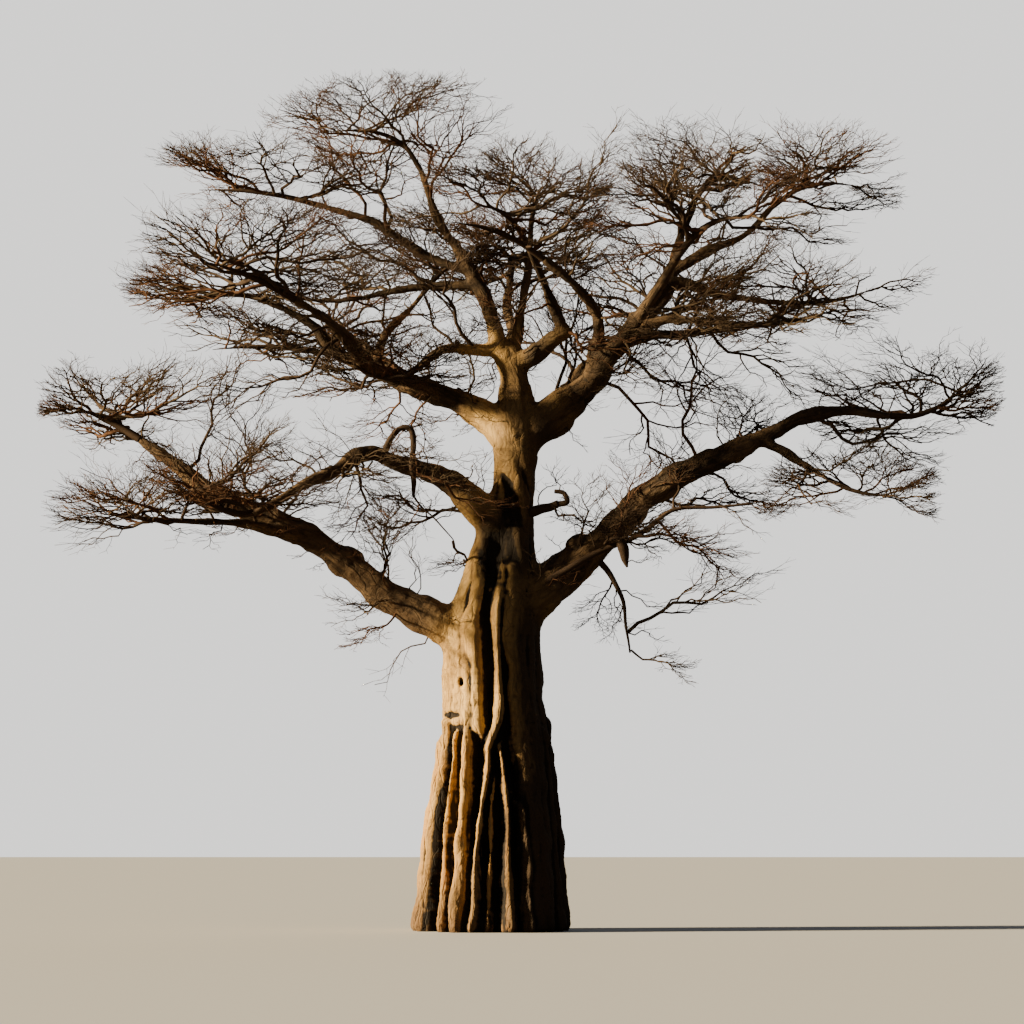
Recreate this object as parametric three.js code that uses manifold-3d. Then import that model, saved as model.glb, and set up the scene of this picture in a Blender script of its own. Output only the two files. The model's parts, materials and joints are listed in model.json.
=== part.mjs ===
// A bare baobab tree in its dry season, rooted in level ground: one trunk of fused columns,
// the boughs that leave it, and masses of bare twigs at the boughs' tips.
// Millimetres, +Z up. The origin is the centre of the trunk's flat cut at ground level.
// +X is the right-hand side of the view that the tree was measured in, and +Y points away
// from that viewer. A heading is an angle in the XY plane, anticlockwise from +X, and a rise
// is an angle above level, both in degrees. Lengths in the tables below are metres.

import * as THREE from "three";
import { mergeVertices } from "three/addons/utils/BufferGeometryUtils.js";
import Module from "manifold-3d";

const wasm = await Module();
wasm.setup();

// Driving dimensions
const METRE = 1000;
const TREE_HEIGHT = 18.0 * METRE;
const MEASURED_HEIGHT = 18.0;
const UNIT = TREE_HEIGHT / MEASURED_HEIGHT;
const JOINT_GAP = 0.3;
const RADIANS = Math.PI / 180;
const GOLDEN_TURN = 137.5;
const STEEP = 0.95;
const ON_AXIS = 1e-6;
const UP = new THREE.Vector3(0, 0, 1);

// The trunk: radius and sideways lean of its centre at each height
const TRUNK_STATIONS = [
  { height: 0.0, radius: 1.72, east: 0.0 },
  { height: 0.8, radius: 1.58, east: 0.02 },
  { height: 2.2, radius: 1.45, east: 0.04 },
  { height: 3.6, radius: 1.24, east: 0.08 },
  { height: 4.6, radius: 1.1, east: 0.06 },
  { height: 5.6, radius: 1.06, east: 0.02 },
  { height: 6.4, radius: 1.05, east: 0.03 },
  { height: 7.2, radius: 0.84, east: 0.16 },
  { height: 8.2, radius: 0.64, east: 0.29 },
  { height: 9.4, radius: 0.48, east: 0.49 },
  { height: 10.4, radius: 0.48, east: 0.56 },
  { height: 11.3, radius: 0.36, east: 0.52 },
  { height: 12.3, radius: 0.2, east: 0.44 },
];
const TRUNK_SIDES = 38;
const TRUNK_RINGS = 18;
// Grooves between the fused columns, as headings, above and below the folded waist
const COLUMN_GROOVES = [20, 68, 112, 158, 208, 246, 272, 322];
const FOLD_GROOVES = [8, 36, 70, 96, 128, 158, 182, 204, 222, 238, 256, 278, 300, 332];
const COLUMN_DEPTH = 0.13;
const FOLD_DEPTH = 0.17;
const FOLD_TOP = 4.7;
const FOLD_FADE = 1.1;
const GROOVE_SHARPNESS = 0.55;

// Limbs. "from" is the limb or trunk that it leaves, and "at" the height on the trunk or the
// share of the limb's length. A limb with "at" TIP grows on from the flat end of the other.
// Heading, rise and radius are given at the foot and at the tip. "mass" is the space that the
// twigs at its tip keep to: half its width, half its height, and how far the middle lies
// ahead of the tip and above it.
const TIP = 1;
const LIMBS = [
  { name: "low_left_bough", from: "trunk", at: 5.75, heading: [184, 182], rise: [34, 30],
    length: 5.75, radius: [0.35, 0.24] },
  { name: "low_left_outer", from: "low_left_bough", at: TIP, heading: [182, 172], rise: [12, 48],
    length: 3.0, radius: [0.24, 0.09],
    mass: { spread: 2.2, height: 1.82, ahead: 0.0, above: 0.6 } },
  { name: "low_left_side", from: "low_left_bough", at: 0.78, heading: [216, 204], rise: [10, 2],
    length: 2.7, radius: [0.13, 0.06],
    mass: { spread: 2.4, height: 1.43, ahead: 0.7, above: 0.1 } },
  { name: "middle_left_bough", from: "trunk", at: 8.3, heading: [199, 198], rise: [49, 16],
    length: 2.7, radius: [0.28, 0.18] },
  { name: "middle_left_outer", from: "middle_left_bough", at: TIP, heading: [211, 220],
    rise: [-34, -24], length: 3.5, radius: [0.18, 0.085],
    mass: { spread: 2.3, height: 1.56, ahead: 0.7, above: 0.3 } },
  { name: "upper_left_bough", from: "trunk", at: 10.1, heading: [175, 176], rise: [43, 12],
    length: 3.7, radius: [0.29, 0.17] },
  { name: "upper_left_outer", from: "upper_left_bough", at: TIP, heading: [182, 193],
    rise: [88, 13], length: 2.3, radius: [0.17, 0.07],
    mass: { spread: 2.6, height: 1.56, ahead: 0.9, above: 0.0 } },
  { name: "upper_left_riser", from: "upper_left_bough", at: 0.97, heading: [20, 10],
    rise: [68, 40], length: 2.4, radius: [0.09, 0.05],
    mass: { spread: 1.8, height: 1.17, ahead: 0.0, above: 0.5 } },
  { name: "leader_left", from: "trunk", at: 11.5, heading: [179, 185], rise: [66, 64],
    length: 5, radius: [0.21, 0.06],
    mass: { spread: 3.0, height: 1.12, ahead: 0.5, above: 0.75 } },
  { name: "leader_left_branch", from: "leader_left", at: 0.51, heading: [185, 189],
    rise: [27, 24], length: 3.45, radius: [0.13, 0.065],
    mass: { spread: 2.8, height: 1.37, ahead: 1.1, above: 0.35 } },
  { name: "leader_left_low", from: "leader_left", at: 0.45, heading: [170, 181], rise: [0, -11],
    length: 2.5, radius: [0.085, 0.05],
    mass: { spread: 2.2, height: 1.17, ahead: 0.7, above: 0.2 } },
  { name: "short_left_bough", from: "trunk", at: 12.2, heading: [194, 205], rise: [16, -39],
    length: 2.3, radius: [0.15, 0.06],
    mass: { spread: 1.7, height: 1.17, ahead: 0.5, above: 0.1 } },
  { name: "leader_right", from: "trunk", at: 11.9, heading: [-20, -21], rise: [20, 41],
    length: 1.45, radius: [0.18, 0.13] },
  { name: "leader_right_return", from: "leader_right", at: 0.9, heading: [236, 250],
    rise: [50, 34], length: 2.2, radius: [0.12, 0.065],
    mass: { spread: 2.6, height: 1.69, ahead: 0.9, above: 0.5 } },
  { name: "thin_upright", from: "trunk", at: 12.0, heading: [30, 80], rise: [72, 80],
    length: 3.2, radius: [0.1, 0.055],
    mass: { spread: 3.0, height: 1.2, ahead: 0.1, above: 0.8 } },
  { name: "great_right_bough", from: "trunk", at: 10.15, heading: [3, 3], rise: [39, 53],
    length: 3.75, radius: [0.38, 0.18] },
  { name: "great_right_low", from: "great_right_bough", at: TIP, heading: [7, -5],
    rise: [-12, -12], length: 3.2, radius: [0.17, 0.06],
    mass: { spread: 2.7, height: 1.43, ahead: 0.9, above: 0.3 } },
  { name: "great_right_riser", from: "great_right_bough", at: 0.94, heading: [20, 22],
    rise: [48, 83], length: 3.3, radius: [0.17, 0.065],
    mass: { spread: 3.1, height: 1.25, ahead: 0.1, above: 0.3 } },
  { name: "great_right_upper", from: "great_right_riser", at: 0.48, heading: [0, 5],
    rise: [21, 41], length: 2.65, radius: [0.11, 0.06],
    mass: { spread: 2.5, height: 1.4, ahead: 0.6, above: 0.45 } },
  { name: "great_right_droop", from: "great_right_bough", at: 0.92, heading: [-27, -32],
    rise: [14, -20], length: 2.85, radius: [0.1, 0.05],
    mass: { spread: 2.3, height: 1.3, ahead: 0.7, above: 0.1 } },
  { name: "crossing_bough", from: "great_right_bough", at: 0.55, heading: [301, 198],
    rise: [43, 35], length: 3.65, radius: [0.17, 0.075],
    mass: { spread: 2.3, height: 1.43, ahead: 0.8, above: 0.6 } },
  { name: "low_right_bough", from: "trunk", at: 6.35, heading: [-5, 2], rise: [44, 29],
    length: 7.1, radius: [0.42, 0.19] },
  { name: "low_right_outer", from: "low_right_bough", at: TIP, heading: [-2, 12],
    rise: [61, -28], length: 2.85, radius: [0.19, 0.075],
    mass: { spread: 2.3, height: 1.82, ahead: 0.3, above: 0.6 } },
  { name: "low_right_side", from: "low_right_bough", at: 0.97, heading: [-13, -30],
    rise: [-21, -40], length: 1.8, radius: [0.09, 0.05],
    mass: { spread: 1.9, height: 1.43, ahead: 0.5, above: -0.4 } },
  { name: "hooked_stub", from: "trunk", at: 8.7, heading: [-12, -18], rise: [2, 20],
    length: 1.13, radius: [0.1, 0.065] },
  { name: "hanging_branch", from: "low_right_bough", at: 0.37, heading: [-30, -10],
    rise: [-50, -88], length: 2.4, radius: [0.06, 0.02] },
  { name: "back_left_bough", from: "trunk", at: 10.0, heading: [132, 126], rise: [32, 20],
    length: 6.2, radius: [0.26, 0.09],
    mass: { spread: 3.1, height: 1.95, ahead: 0.9, above: 0.7 } },
  { name: "back_left_side", from: "back_left_bough", at: 0.5, heading: [172, 162],
    rise: [30, 14], length: 3.0, radius: [0.15, 0.07],
    mass: { spread: 2.7, height: 1.56, ahead: 0.9, above: 0.1 } },
  { name: "back_right_bough", from: "trunk", at: 10.05, heading: [54, 50],
    rise: [42, 28], length: 6.0, radius: [0.26, 0.09],
    mass: { spread: 3.1, height: 1.82, ahead: 0.9, above: 0.9 } },
  { name: "back_right_side", from: "back_right_bough", at: 0.75, heading: [14, 24],
    rise: [18, 4], length: 2.6, radius: [0.13, 0.07],
    mass: { spread: 2.7, height: 1.4, ahead: 0.9, above: 0.4 } },
  { name: "front_left_bough", from: "upper_left_bough", at: 0.85, heading: [250, 234],
    rise: [10, 26], length: 4.0, radius: [0.16, 0.08],
    mass: { spread: 3.0, height: 1.69, ahead: 0.9, above: 0.4 } },
  { name: "front_right_bough", from: "great_right_bough", at: 0.55, heading: [292, 306],
    rise: [20, 40], length: 4.2, radius: [0.19, 0.08],
    mass: { spread: 3.0, height: 1.69, ahead: 0.9, above: 0.4 } },
  { name: "back_upper_bough", from: "trunk", at: 11.3, heading: [100, 86], rise: [50, 42],
    length: 4.0, radius: [0.18, 0.08],
    mass: { spread: 2.8, height: 1.56, ahead: 0.8, above: 0.6 } },
  { name: "hooked_stub_tip", from: "hooked_stub", at: TIP, heading: [-18, -18],
    rise: [17, 200], length: 0.6, radius: [0.065, 0.045] },
];
const LIMB_SIDES = [
  { above: 0.24, sides: 8 },
  { above: 0.14, sides: 6 },
  { above: 0, sides: 5 },
];
const LIMB_STEP = 1.0;
const LIMB_WOBBLE = 8;
const WOBBLE_WAVES = 1.4;
const COLLAR_SWELL = 0.42;
const COLLAR_LENGTH = 0.75;
const FOOT_SHARE = 0.75;

// How a mass of twigs branches, level by level: a stem, branchlets that fan out from it to
// the edge of the space, and twigs that leave the branchlets to either side
const STEM = { steps: 3, sides: 5, taper: 0.55, children: 7, firstChild: 0.12, lastChild: 0.95 };
const BRANCHLET = { steps: 3, sides: 3, taper: 0.5, children: 2, firstChild: 0.28,
  lastChild: 0.85, longest: 3.6, reach: 0.98 };
const TWIG = { steps: 1, sides: 3, taper: 0.35, children: 0, reach: 0.95 };
const TWIG_LEVELS = [STEM, BRANCHLET, TWIG];
const STEM_REACH = 0.55;
const FAN_RISE = [-16, 40];
const FAN_JITTER = 36;
const TWIG_LEAN = [30, 56];
const TWIG_ROLL = 34;
const TWIG_SHARE = [0.62, 0.4];
const GOLDEN_SHARE = 0.618034;
const CHILD_RADIUS = 0.45;
const THINNEST = 0.006;
const TWIG_WOBBLE = 0.14;
const TWIG_LIFT = 0.08;
const LIMB_CLEARANCE = 0.04;
const SPACE_MARGIN = 0.02;
const MARCH_STEP = 0.08;
const STRETCH_TESTS = [0.2, 0.4, 0.6, 0.8, 1];
const FIRST_SEED = 20260;
const STEM_SEED = 99;
const AIM_SEED = 7;
const PHASES = 97;

// Colours: grey-tan bark, and darker and redder on the twigs
const BARK = new THREE.MeshStandardMaterial({ color: 0x9c8468, roughness: 0.9, metalness: 0 });
const BOUGH_BARK = new THREE.MeshStandardMaterial({ color: 0x7d6a55, roughness: 0.9, metalness: 0 });
const TWIG_BARK = new THREE.MeshStandardMaterial({ color: 0x5f4a3a, roughness: 0.85, metalness: 0 });

// A repeatable source of numbers from 0 to 1
function seededRandom(seed) {
  let state = seed >>> 0;
  return () => {
    state = (state + 0x6d2b79f5) >>> 0;
    let t = state;
    t = Math.imul(t ^ (t >>> 15), t | 1);
    t ^= t + Math.imul(t ^ (t >>> 7), t | 61);
    return ((t ^ (t >>> 14)) >>> 0) / 4294967296;
  };
}

// The seed of the numbered child of a limb or twig, so that each grows the same on its own
function childSeed(seed, index) {
  return (Math.imul(seed ^ 0x9e3779b9, 2654435761) + Math.imul(index + 1, 40503)) >>> 0;
}

const mix = (a, b, share) => a + (b - a) * share;
const smooth = (x) => {
  const t = Math.min(1, Math.max(0, x));
  return t * t * (3 - 2 * t);
};

function direction(heading, rise) {
  const level = Math.cos(rise * RADIANS);
  return new THREE.Vector3(
    level * Math.cos(heading * RADIANS),
    level * Math.sin(heading * RADIANS),
    Math.sin(rise * RADIANS),
  );
}

// A named value of the trunk's stations at any height, on a smooth curve through them
function trunkValue(key, height) {
  const last = TRUNK_STATIONS.length - 1;
  let i = 0;
  while (i < last - 1 && height > TRUNK_STATIONS[i + 1].height) i += 1;
  const [a, b] = [TRUNK_STATIONS[i], TRUNK_STATIONS[i + 1]];
  const before = TRUNK_STATIONS[Math.max(0, i - 1)];
  const after = TRUNK_STATIONS[Math.min(last, i + 2)];
  const span = b.height - a.height;
  const t = Math.min(1, Math.max(0, (height - a.height) / span));
  const slopeA = ((b[key] - before[key]) / (b.height - before.height)) * span;
  const slopeB = ((after[key] - a[key]) / (after.height - a.height)) * span;
  const t2 = t * t;
  const t3 = t2 * t;
  return (
    (2 * t3 - 3 * t2 + 1) * a[key] + (t3 - 2 * t2 + t) * slopeA +
    (3 * t2 - 2 * t3) * b[key] + (t3 - t2) * slopeB
  );
}

// 1 on the crown of a column and 0 in a groove between two, for a set of groove headings
function columnBulge(grooves, heading) {
  const angle = ((heading % 360) + 360) % 360;
  let i = grooves.length - 1;
  while (i >= 0 && grooves[i] > angle) i -= 1;
  const from = i < 0 ? grooves[grooves.length - 1] - 360 : grooves[i];
  const next = grooves[(i + 1) % grooves.length];
  const to = next > from ? next : next + 360;
  return Math.sin((Math.PI * (angle - from)) / (to - from)) ** GROOVE_SHARPNESS;
}

// The trunk's radius at a height and heading, with its columns above and folds below
function trunkRadius(height, heading) {
  const folds = smooth((FOLD_TOP - height) / FOLD_FADE + 0.5);
  const columns = 1 - columnBulge(COLUMN_GROOVES, heading);
  const folded = 1 - columnBulge(FOLD_GROOVES, heading);
  const tipFade = smooth((TRUNK_STATIONS.at(-1).height - height) / 2);
  const depth = mix(COLUMN_DEPTH * tipFade * columns, FOLD_DEPTH * folded, folds);
  return trunkValue("radius", height) * (1 - depth);
}

function trunkCentre(height) {
  return new THREE.Vector3(trunkValue("east", height), 0, height);
}

// A closed solid from a cylinder of unit size whose points, in metres, are set by
// place(ring number, angle in degrees, is on the axis)
function bentCylinder(sides, rings, pointed, place) {
  const cylinder = new THREE.CylinderGeometry(pointed ? 0 : 1, 1, 1, sides, rings);
  cylinder.deleteAttribute("normal");
  cylinder.deleteAttribute("uv");
  const geometry = mergeVertices(cylinder);
  const position = geometry.attributes.position;
  for (let i = 0; i < position.count; i += 1) {
    const [x, y, z] = [position.getX(i), position.getY(i), position.getZ(i)];
    const onAxis = Math.hypot(x, z) < ON_AXIS;
    const angle = (Math.atan2(-z, x) / RADIANS + 360) % 360;
    const moved = place(Math.round((y + 0.5) * rings), angle, onAxis);
    position.setXYZ(i, moved.x, moved.y, moved.z);
  }
  geometry.scale(UNIT, UNIT, UNIT);
  const mesh = new wasm.Mesh({
    numProp: 3,
    vertProperties: position.array,
    triVerts: new Uint32Array(geometry.index.array),
  });
  return new wasm.Manifold(mesh);
}

function trunkSolid(grow) {
  const top = TRUNK_STATIONS.at(-1).height;
  const place = (ring, angle, onAxis) => {
    const height = top * (ring / TRUNK_RINGS);
    const radius = onAxis ? 0 : trunkRadius(height, angle) + grow / UNIT;
    const point = direction(angle, 0).multiplyScalar(radius).add(trunkCentre(height));
    if (ring === TRUNK_RINGS) point.z += grow / UNIT;
    return point;
  };
  return bentCylinder(TRUNK_SIDES, TRUNK_RINGS, false, place);
}

// A tapering tube along a path in metres. Its foot is cut square to the lead direction, where
// it has one, and a pointed tube closes in its last point.
function tubeSolid({ path, radii, lead }, sides, grow = 0, pointed = false) {
  const frames = [];
  let side = Math.abs(path[1].clone().sub(path[0]).normalize().z) > STEEP
    ? new THREE.Vector3(1, 0, 0) : UP.clone();
  path.forEach((point, i) => {
    const ahead = path[Math.min(i + 1, path.length - 1)];
    const behind = path[Math.max(i - 1, 0)];
    const along = i === 0 && lead ? lead.clone() : ahead.clone().sub(behind).normalize();
    side = side.clone().addScaledVector(along, -side.dot(along)).normalize();
    frames.push({ along, side, other: along.clone().cross(side) });
  });
  const place = (ring, angle, onAxis) => {
    const { along, side: first, other } = frames[ring];
    const radius = onAxis ? 0 : radii[ring] + grow / UNIT;
    const overrun = ring === 0 ? -grow / UNIT : ring === path.length - 1 ? grow / UNIT : 0;
    return path[ring].clone()
      .addScaledVector(first, radius * Math.cos(angle * RADIANS))
      .addScaledVector(other, radius * Math.sin(angle * RADIANS))
      .addScaledVector(along, overrun);
  };
  return bentCylinder(sides, path.length - 1, pointed, place);
}

// The point, direction and radius of a limb's path at a share of its length
function onLimb(limb, share) {
  const spans = limb.path.length - 1;
  const i = Math.min(spans - 1, Math.floor(share * spans));
  const t = share * spans - i;
  return {
    point: limb.path[i].clone().lerp(limb.path[i + 1], t),
    along: limb.path[i + 1].clone().sub(limb.path[i]).normalize(),
    radius: mix(limb.radii[i], limb.radii[i + 1], t),
  };
}

// Gives a limb its path and radii. Its heading and rise run evenly from foot to tip, with a
// seeded wobble, and it swells into a collar where it leaves a thicker limb.
function shapeLimb(limb, index, grown) {
  const seed = childSeed(FIRST_SEED, index);
  const random = seededRandom(seed);
  const [headingPhase, risePhase] = [random(), random()];
  const parent = grown.get(limb.from);
  const growsOn = limb.at === TIP;
  const foot = parent ? onLimb(parent, limb.at) : { point: trunkCentre(limb.at) };
  const parentRadius = parent ? foot.radius : trunkValue("radius", limb.at);
  const start = foot.point.clone();
  if (growsOn) start.addScaledVector(foot.along, JOINT_GAP / UNIT);
  const steps = Math.max(3, Math.round(limb.length / LIMB_STEP));
  const path = [start];
  for (let i = 0; i < steps; i += 1) {
    const share = (i + 0.5) / steps;
    const wave = (phase) => Math.sin(2 * Math.PI * (WOBBLE_WAVES * share + phase));
    const heading = mix(...limb.heading, share) + LIMB_WOBBLE * wave(headingPhase);
    const rise = mix(...limb.rise, share) + LIMB_WOBBLE * wave(risePhase);
    const along = growsOn && i === 0 ? foot.along : direction(heading, rise);
    path.push(path[i].clone().addScaledVector(along, limb.length / steps));
  }
  const radii = path.map((point, i) => {
    const out = (limb.length * i) / steps - parentRadius;
    const swell = growsOn ? 0 : COLLAR_SWELL * Math.exp(-Math.max(0, out) / COLLAR_LENGTH);
    const radius = mix(...limb.radius, i / steps) * (1 + swell);
    return i === 0 && !growsOn ? Math.min(radius, FOOT_SHARE * parentRadius) : radius;
  });
  return { ...limb, seed, path, radii };
}

// Distance from a point to the stretch between two others
function distanceToStretch(point, a, b) {
  const line = new THREE.Line3(a, b);
  return line.closestPointToPoint(point, true, new THREE.Vector3()).distanceTo(point);
}

// True where a point lies clear of the trunk and of every limb
function clearOfLimbs(point, limbs) {
  if (point.z < TRUNK_STATIONS.at(-1).height + LIMB_CLEARANCE) {
    const out = point.clone().sub(trunkCentre(point.z)).setZ(0).length();
    if (out < trunkValue("radius", point.z) + LIMB_CLEARANCE) return false;
  }
  return limbs.every((limb) =>
    limb.path.slice(1).every((end, i) => {
      const apart = distanceToStretch(point, limb.path[i], end);
      return apart > Math.max(limb.radii[i], limb.radii[i + 1]) + LIMB_CLEARANCE;
    }),
  );
}

// The space of a limb's mass: an ellipsoid whose middle lies ahead of the tip and above it
function massSpace(limb) {
  const { spread, height, ahead, above } = limb.mass;
  const tip = limb.path.at(-1);
  const along = onLimb(limb, 1).along;
  const level = along.clone().setZ(0).normalize();
  const centre = tip.clone().addScaledVector(level, ahead).addScaledVector(UP, above);
  return { centre, half: new THREE.Vector3(spread, spread, height) };
}

// 0 at the middle of a space, 1 on its edge
function depthIn(space, point) {
  return point.clone().sub(space.centre).divide(space.half).length();
}

// True where a point is inside a mass's own ellipsoid and deeper in it than in any other
function keepsToSpace(point, own, spaces) {
  const depth = depthIn(own, point);
  if (depth > 1) return false;
  return spaces.every((s) => s === own || depthIn(s, point) > depth + SPACE_MARGIN);
}

// True where the whole stretch between two points is free for a twig
function isFree(from, to, site) {
  return STRETCH_TESTS.every((share) => {
    const point = from.clone().lerp(to, share);
    return keepsToSpace(point, site.space, site.spaces) && clearOfLimbs(point, site.limbs);
  });
}

// Grows one twig in even steps until it would leave its space or touch a limb, and then the
// twigs that leave it
function growTwig(twig, level, site, made) {
  const rule = TWIG_LEVELS[level];
  const random = seededRandom(twig.seed);
  const along = twig.along.clone();
  const path = [twig.start];
  for (let i = 0; i < rule.steps; i += 1) {
    const wobble = new THREE.Vector3(random() - 0.5, random() - 0.5, random() - 0.5);
    along.addScaledVector(wobble, 2 * TWIG_WOBBLE).addScaledVector(UP, TWIG_LIFT / rule.steps);
    along.normalize();
    const step = twig.length / rule.steps;
    const next = [along, twig.along]
      .map((way) => path[i].clone().addScaledVector(way, step))
      .find((point) => isFree(path[i], point, site));
    if (!next) break;
    path.push(next);
  }
  if (path.length < 2) return;
  const radii = path.map((point, i) => twig.radius * mix(1, rule.taper, i / rule.steps));
  made.push({ path, radii, level });
  growChildren({ path, radii, seed: twig.seed, length: twig.length }, level, site, made);
}

// The direction of a stem's branchlets: all round it, from a little below level to steeply up
function fanDirection(foot, k, random) {
  const ahead = Math.atan2(foot.along.y, foot.along.x) / RADIANS;
  const heading = ahead + GOLDEN_TURN * k + FAN_JITTER * (random() - 0.5);
  return direction(heading, mix(...FAN_RISE, random()));
}

// The direction of the twigs of a branchlet: to left and right by turns, in a flat spray
function sprayDirection(foot, k, random) {
  const left = UP.clone().cross(foot.along).normalize();
  const above = foot.along.clone().cross(left);
  const lean = mix(...TWIG_LEAN, random()) * RADIANS;
  const roll = TWIG_ROLL * (2 * random() - 1) * RADIANS;
  const hand = k % 2 === 0 ? 1 : -1;
  return foot.along.clone().multiplyScalar(Math.cos(lean))
    .addScaledVector(left, hand * Math.sin(lean) * Math.cos(roll))
    .addScaledVector(above, Math.sin(lean) * Math.sin(roll));
}

// Grows the children of a stem or twig, each long enough to reach towards the space's edge
function growChildren(parent, level, site, made) {
  const rule = TWIG_LEVELS[level];
  const childRule = TWIG_LEVELS[level + 1];
  for (let k = 0; k < rule.children; k += 1) {
    const seed = childSeed(parent.seed, k);
    const random = seededRandom(childSeed(seed, AIM_SEED));
    const step = (GOLDEN_SHARE * (k + 1) + (parent.seed % PHASES) / PHASES) % 1;
    const share = mix(rule.firstChild, rule.lastChild, step);
    const foot = onLimb(parent, share);
    const aim = level === 0 ? fanDirection : sprayDirection;
    const along = aim(foot, k, random);
    const wanted = level === 0 ? childRule.longest : parent.length * mix(...TWIG_SHARE, share);
    let free = 0;
    while (free < wanted && keepsToSpace(
      foot.point.clone().addScaledVector(along, free + MARCH_STEP), site.space, site.spaces,
    )) free += MARCH_STEP;
    const length = Math.min(wanted, free * childRule.reach);
    const radius = Math.max(THINNEST, foot.radius * CHILD_RADIUS);
    growTwig({ seed, start: foot.point, along, length, radius }, level + 1, site, made);
  }
}

// One mass: a stem that runs on from its bough's tip through the middle of its space and on
// towards the far edge, and the twigs that leave it
function growMass(limb, spaces, limbs) {
  const { space } = limb;
  const tip = onLimb(limb, 1);
  const start = tip.point.clone().addScaledVector(tip.along, JOINT_GAP / UNIT);
  const outward = direction(Math.atan2(tip.along.y, tip.along.x) / RADIANS, 0);
  const end = space.centre.clone().addScaledVector(outward, space.half.x * STEM_REACH);
  const bend = start.clone().addScaledVector(tip.along, start.distanceTo(end) * 0.5);
  const curve = new THREE.QuadraticBezierCurve3(start, bend, end);
  const path = curve.getPoints(STEM.steps);
  const radii = path.map((point, i) => tip.radius * mix(1, STEM.taper, i / STEM.steps));
  const stem = { path, radii, seed: childSeed(limb.seed, STEM_SEED), length: curve.getLength() };
  const made = [{ path, radii, level: 0, lead: tip.along }];
  growChildren(stem, 0, { space, spaces, limbs }, made);
  return made;
}

function meshOf(solid, name, material) {
  const { vertProperties, triVerts } = solid.getMesh();
  const geometry = new THREE.BufferGeometry();
  geometry.setAttribute("position", new THREE.BufferAttribute(vertProperties, 3));
  geometry.setIndex(new THREE.BufferAttribute(triVerts, 1));
  geometry.computeVertexNormals();
  const mesh = new THREE.Mesh(geometry, material);
  mesh.name = name;
  return mesh;
}

// The largest body of a solid, without the scraps that a cut leaves
function largestBody(solid) {
  return solid.decompose().reduce((a, b) => (b.volume() > a.volume() ? b : a));
}

const tree = new THREE.Group();
tree.add(meshOf(trunkSolid(0), "trunk", BARK));

const grown = new Map();
LIMBS.forEach((limb, i) => grown.set(limb.name, shapeLimb(limb, i, grown)));
const limbs = [...grown.values()];

// Each limb is cut clear of the trunk and of the limbs made before it
const cutters = [trunkSolid(JOINT_GAP)];
for (const limb of limbs) {
  const { sides } = LIMB_SIDES.find(({ above }) => limb.radius[0] > above);
  let solid = tubeSolid(limb, sides);
  for (const cutter of cutters) {
    if (solid.intersect(cutter).volume() > 0) solid = solid.subtract(cutter);
  }
  cutters.push(tubeSolid(limb, sides, JOINT_GAP));
  tree.add(meshOf(largestBody(solid), limb.name, BOUGH_BARK));
}

const bearing = limbs.filter((limb) => limb.mass);
for (const limb of bearing) limb.space = massSpace(limb);
const spaces = bearing.map((limb) => limb.space);
for (const limb of bearing) {
  const twigs = growMass(limb, spaces, limbs);
  const solids = twigs.map((twig) =>
    tubeSolid(twig, TWIG_LEVELS[twig.level].sides, 0, twig.level > 0));
  const mass = largestBody(wasm.Manifold.union(solids));
  tree.add(meshOf(mass, `${limb.name.replace(/_bough$/, "")}_twigs`, TWIG_BARK));
}

export default tree;
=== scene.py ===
"""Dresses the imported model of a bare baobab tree: bark with relief, fine twigs, light, camera.

Metres, +Z up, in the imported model's frame. The view looks along +Y, with +X to the right.
A heading is an angle in the XY plane, anticlockwise from +X, and a rise is an angle above
level, both in degrees.
"""

from __future__ import annotations

import json
import logging
import math
from collections.abc import Callable
from dataclasses import dataclass, fields
from enum import Enum

import bmesh
import bpy
import numpy as np
from bpy.types import Material, Mesh, Node, NodeSocket, NodeTree, Object
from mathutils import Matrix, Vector

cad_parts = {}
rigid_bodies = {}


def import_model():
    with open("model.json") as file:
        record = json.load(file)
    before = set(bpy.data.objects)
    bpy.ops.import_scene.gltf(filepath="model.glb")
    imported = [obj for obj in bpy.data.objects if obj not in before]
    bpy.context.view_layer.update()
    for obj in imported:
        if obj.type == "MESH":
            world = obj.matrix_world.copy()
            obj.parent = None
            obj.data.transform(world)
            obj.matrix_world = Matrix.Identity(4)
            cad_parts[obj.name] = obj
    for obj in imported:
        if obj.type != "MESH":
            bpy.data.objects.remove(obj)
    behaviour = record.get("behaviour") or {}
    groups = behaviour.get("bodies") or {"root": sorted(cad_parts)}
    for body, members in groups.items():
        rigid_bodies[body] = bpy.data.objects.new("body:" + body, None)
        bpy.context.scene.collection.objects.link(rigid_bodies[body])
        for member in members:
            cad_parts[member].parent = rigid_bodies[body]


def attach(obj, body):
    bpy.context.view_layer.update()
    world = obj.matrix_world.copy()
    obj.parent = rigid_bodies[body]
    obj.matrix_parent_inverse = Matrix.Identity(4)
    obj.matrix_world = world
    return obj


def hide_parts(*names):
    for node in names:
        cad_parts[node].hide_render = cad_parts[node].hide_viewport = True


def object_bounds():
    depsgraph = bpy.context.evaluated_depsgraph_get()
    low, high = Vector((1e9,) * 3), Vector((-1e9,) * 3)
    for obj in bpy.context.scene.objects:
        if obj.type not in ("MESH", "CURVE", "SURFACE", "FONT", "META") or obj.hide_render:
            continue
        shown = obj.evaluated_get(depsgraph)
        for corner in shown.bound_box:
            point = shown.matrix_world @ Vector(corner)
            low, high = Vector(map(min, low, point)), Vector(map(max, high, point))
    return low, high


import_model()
CAD_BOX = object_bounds()

log = logging.getLogger("baobab")

Array = np.ndarray
Pair = tuple[float, float]
Triple = tuple[float, float, float]
Shell = tuple[Array, list[list[int]]]

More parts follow.
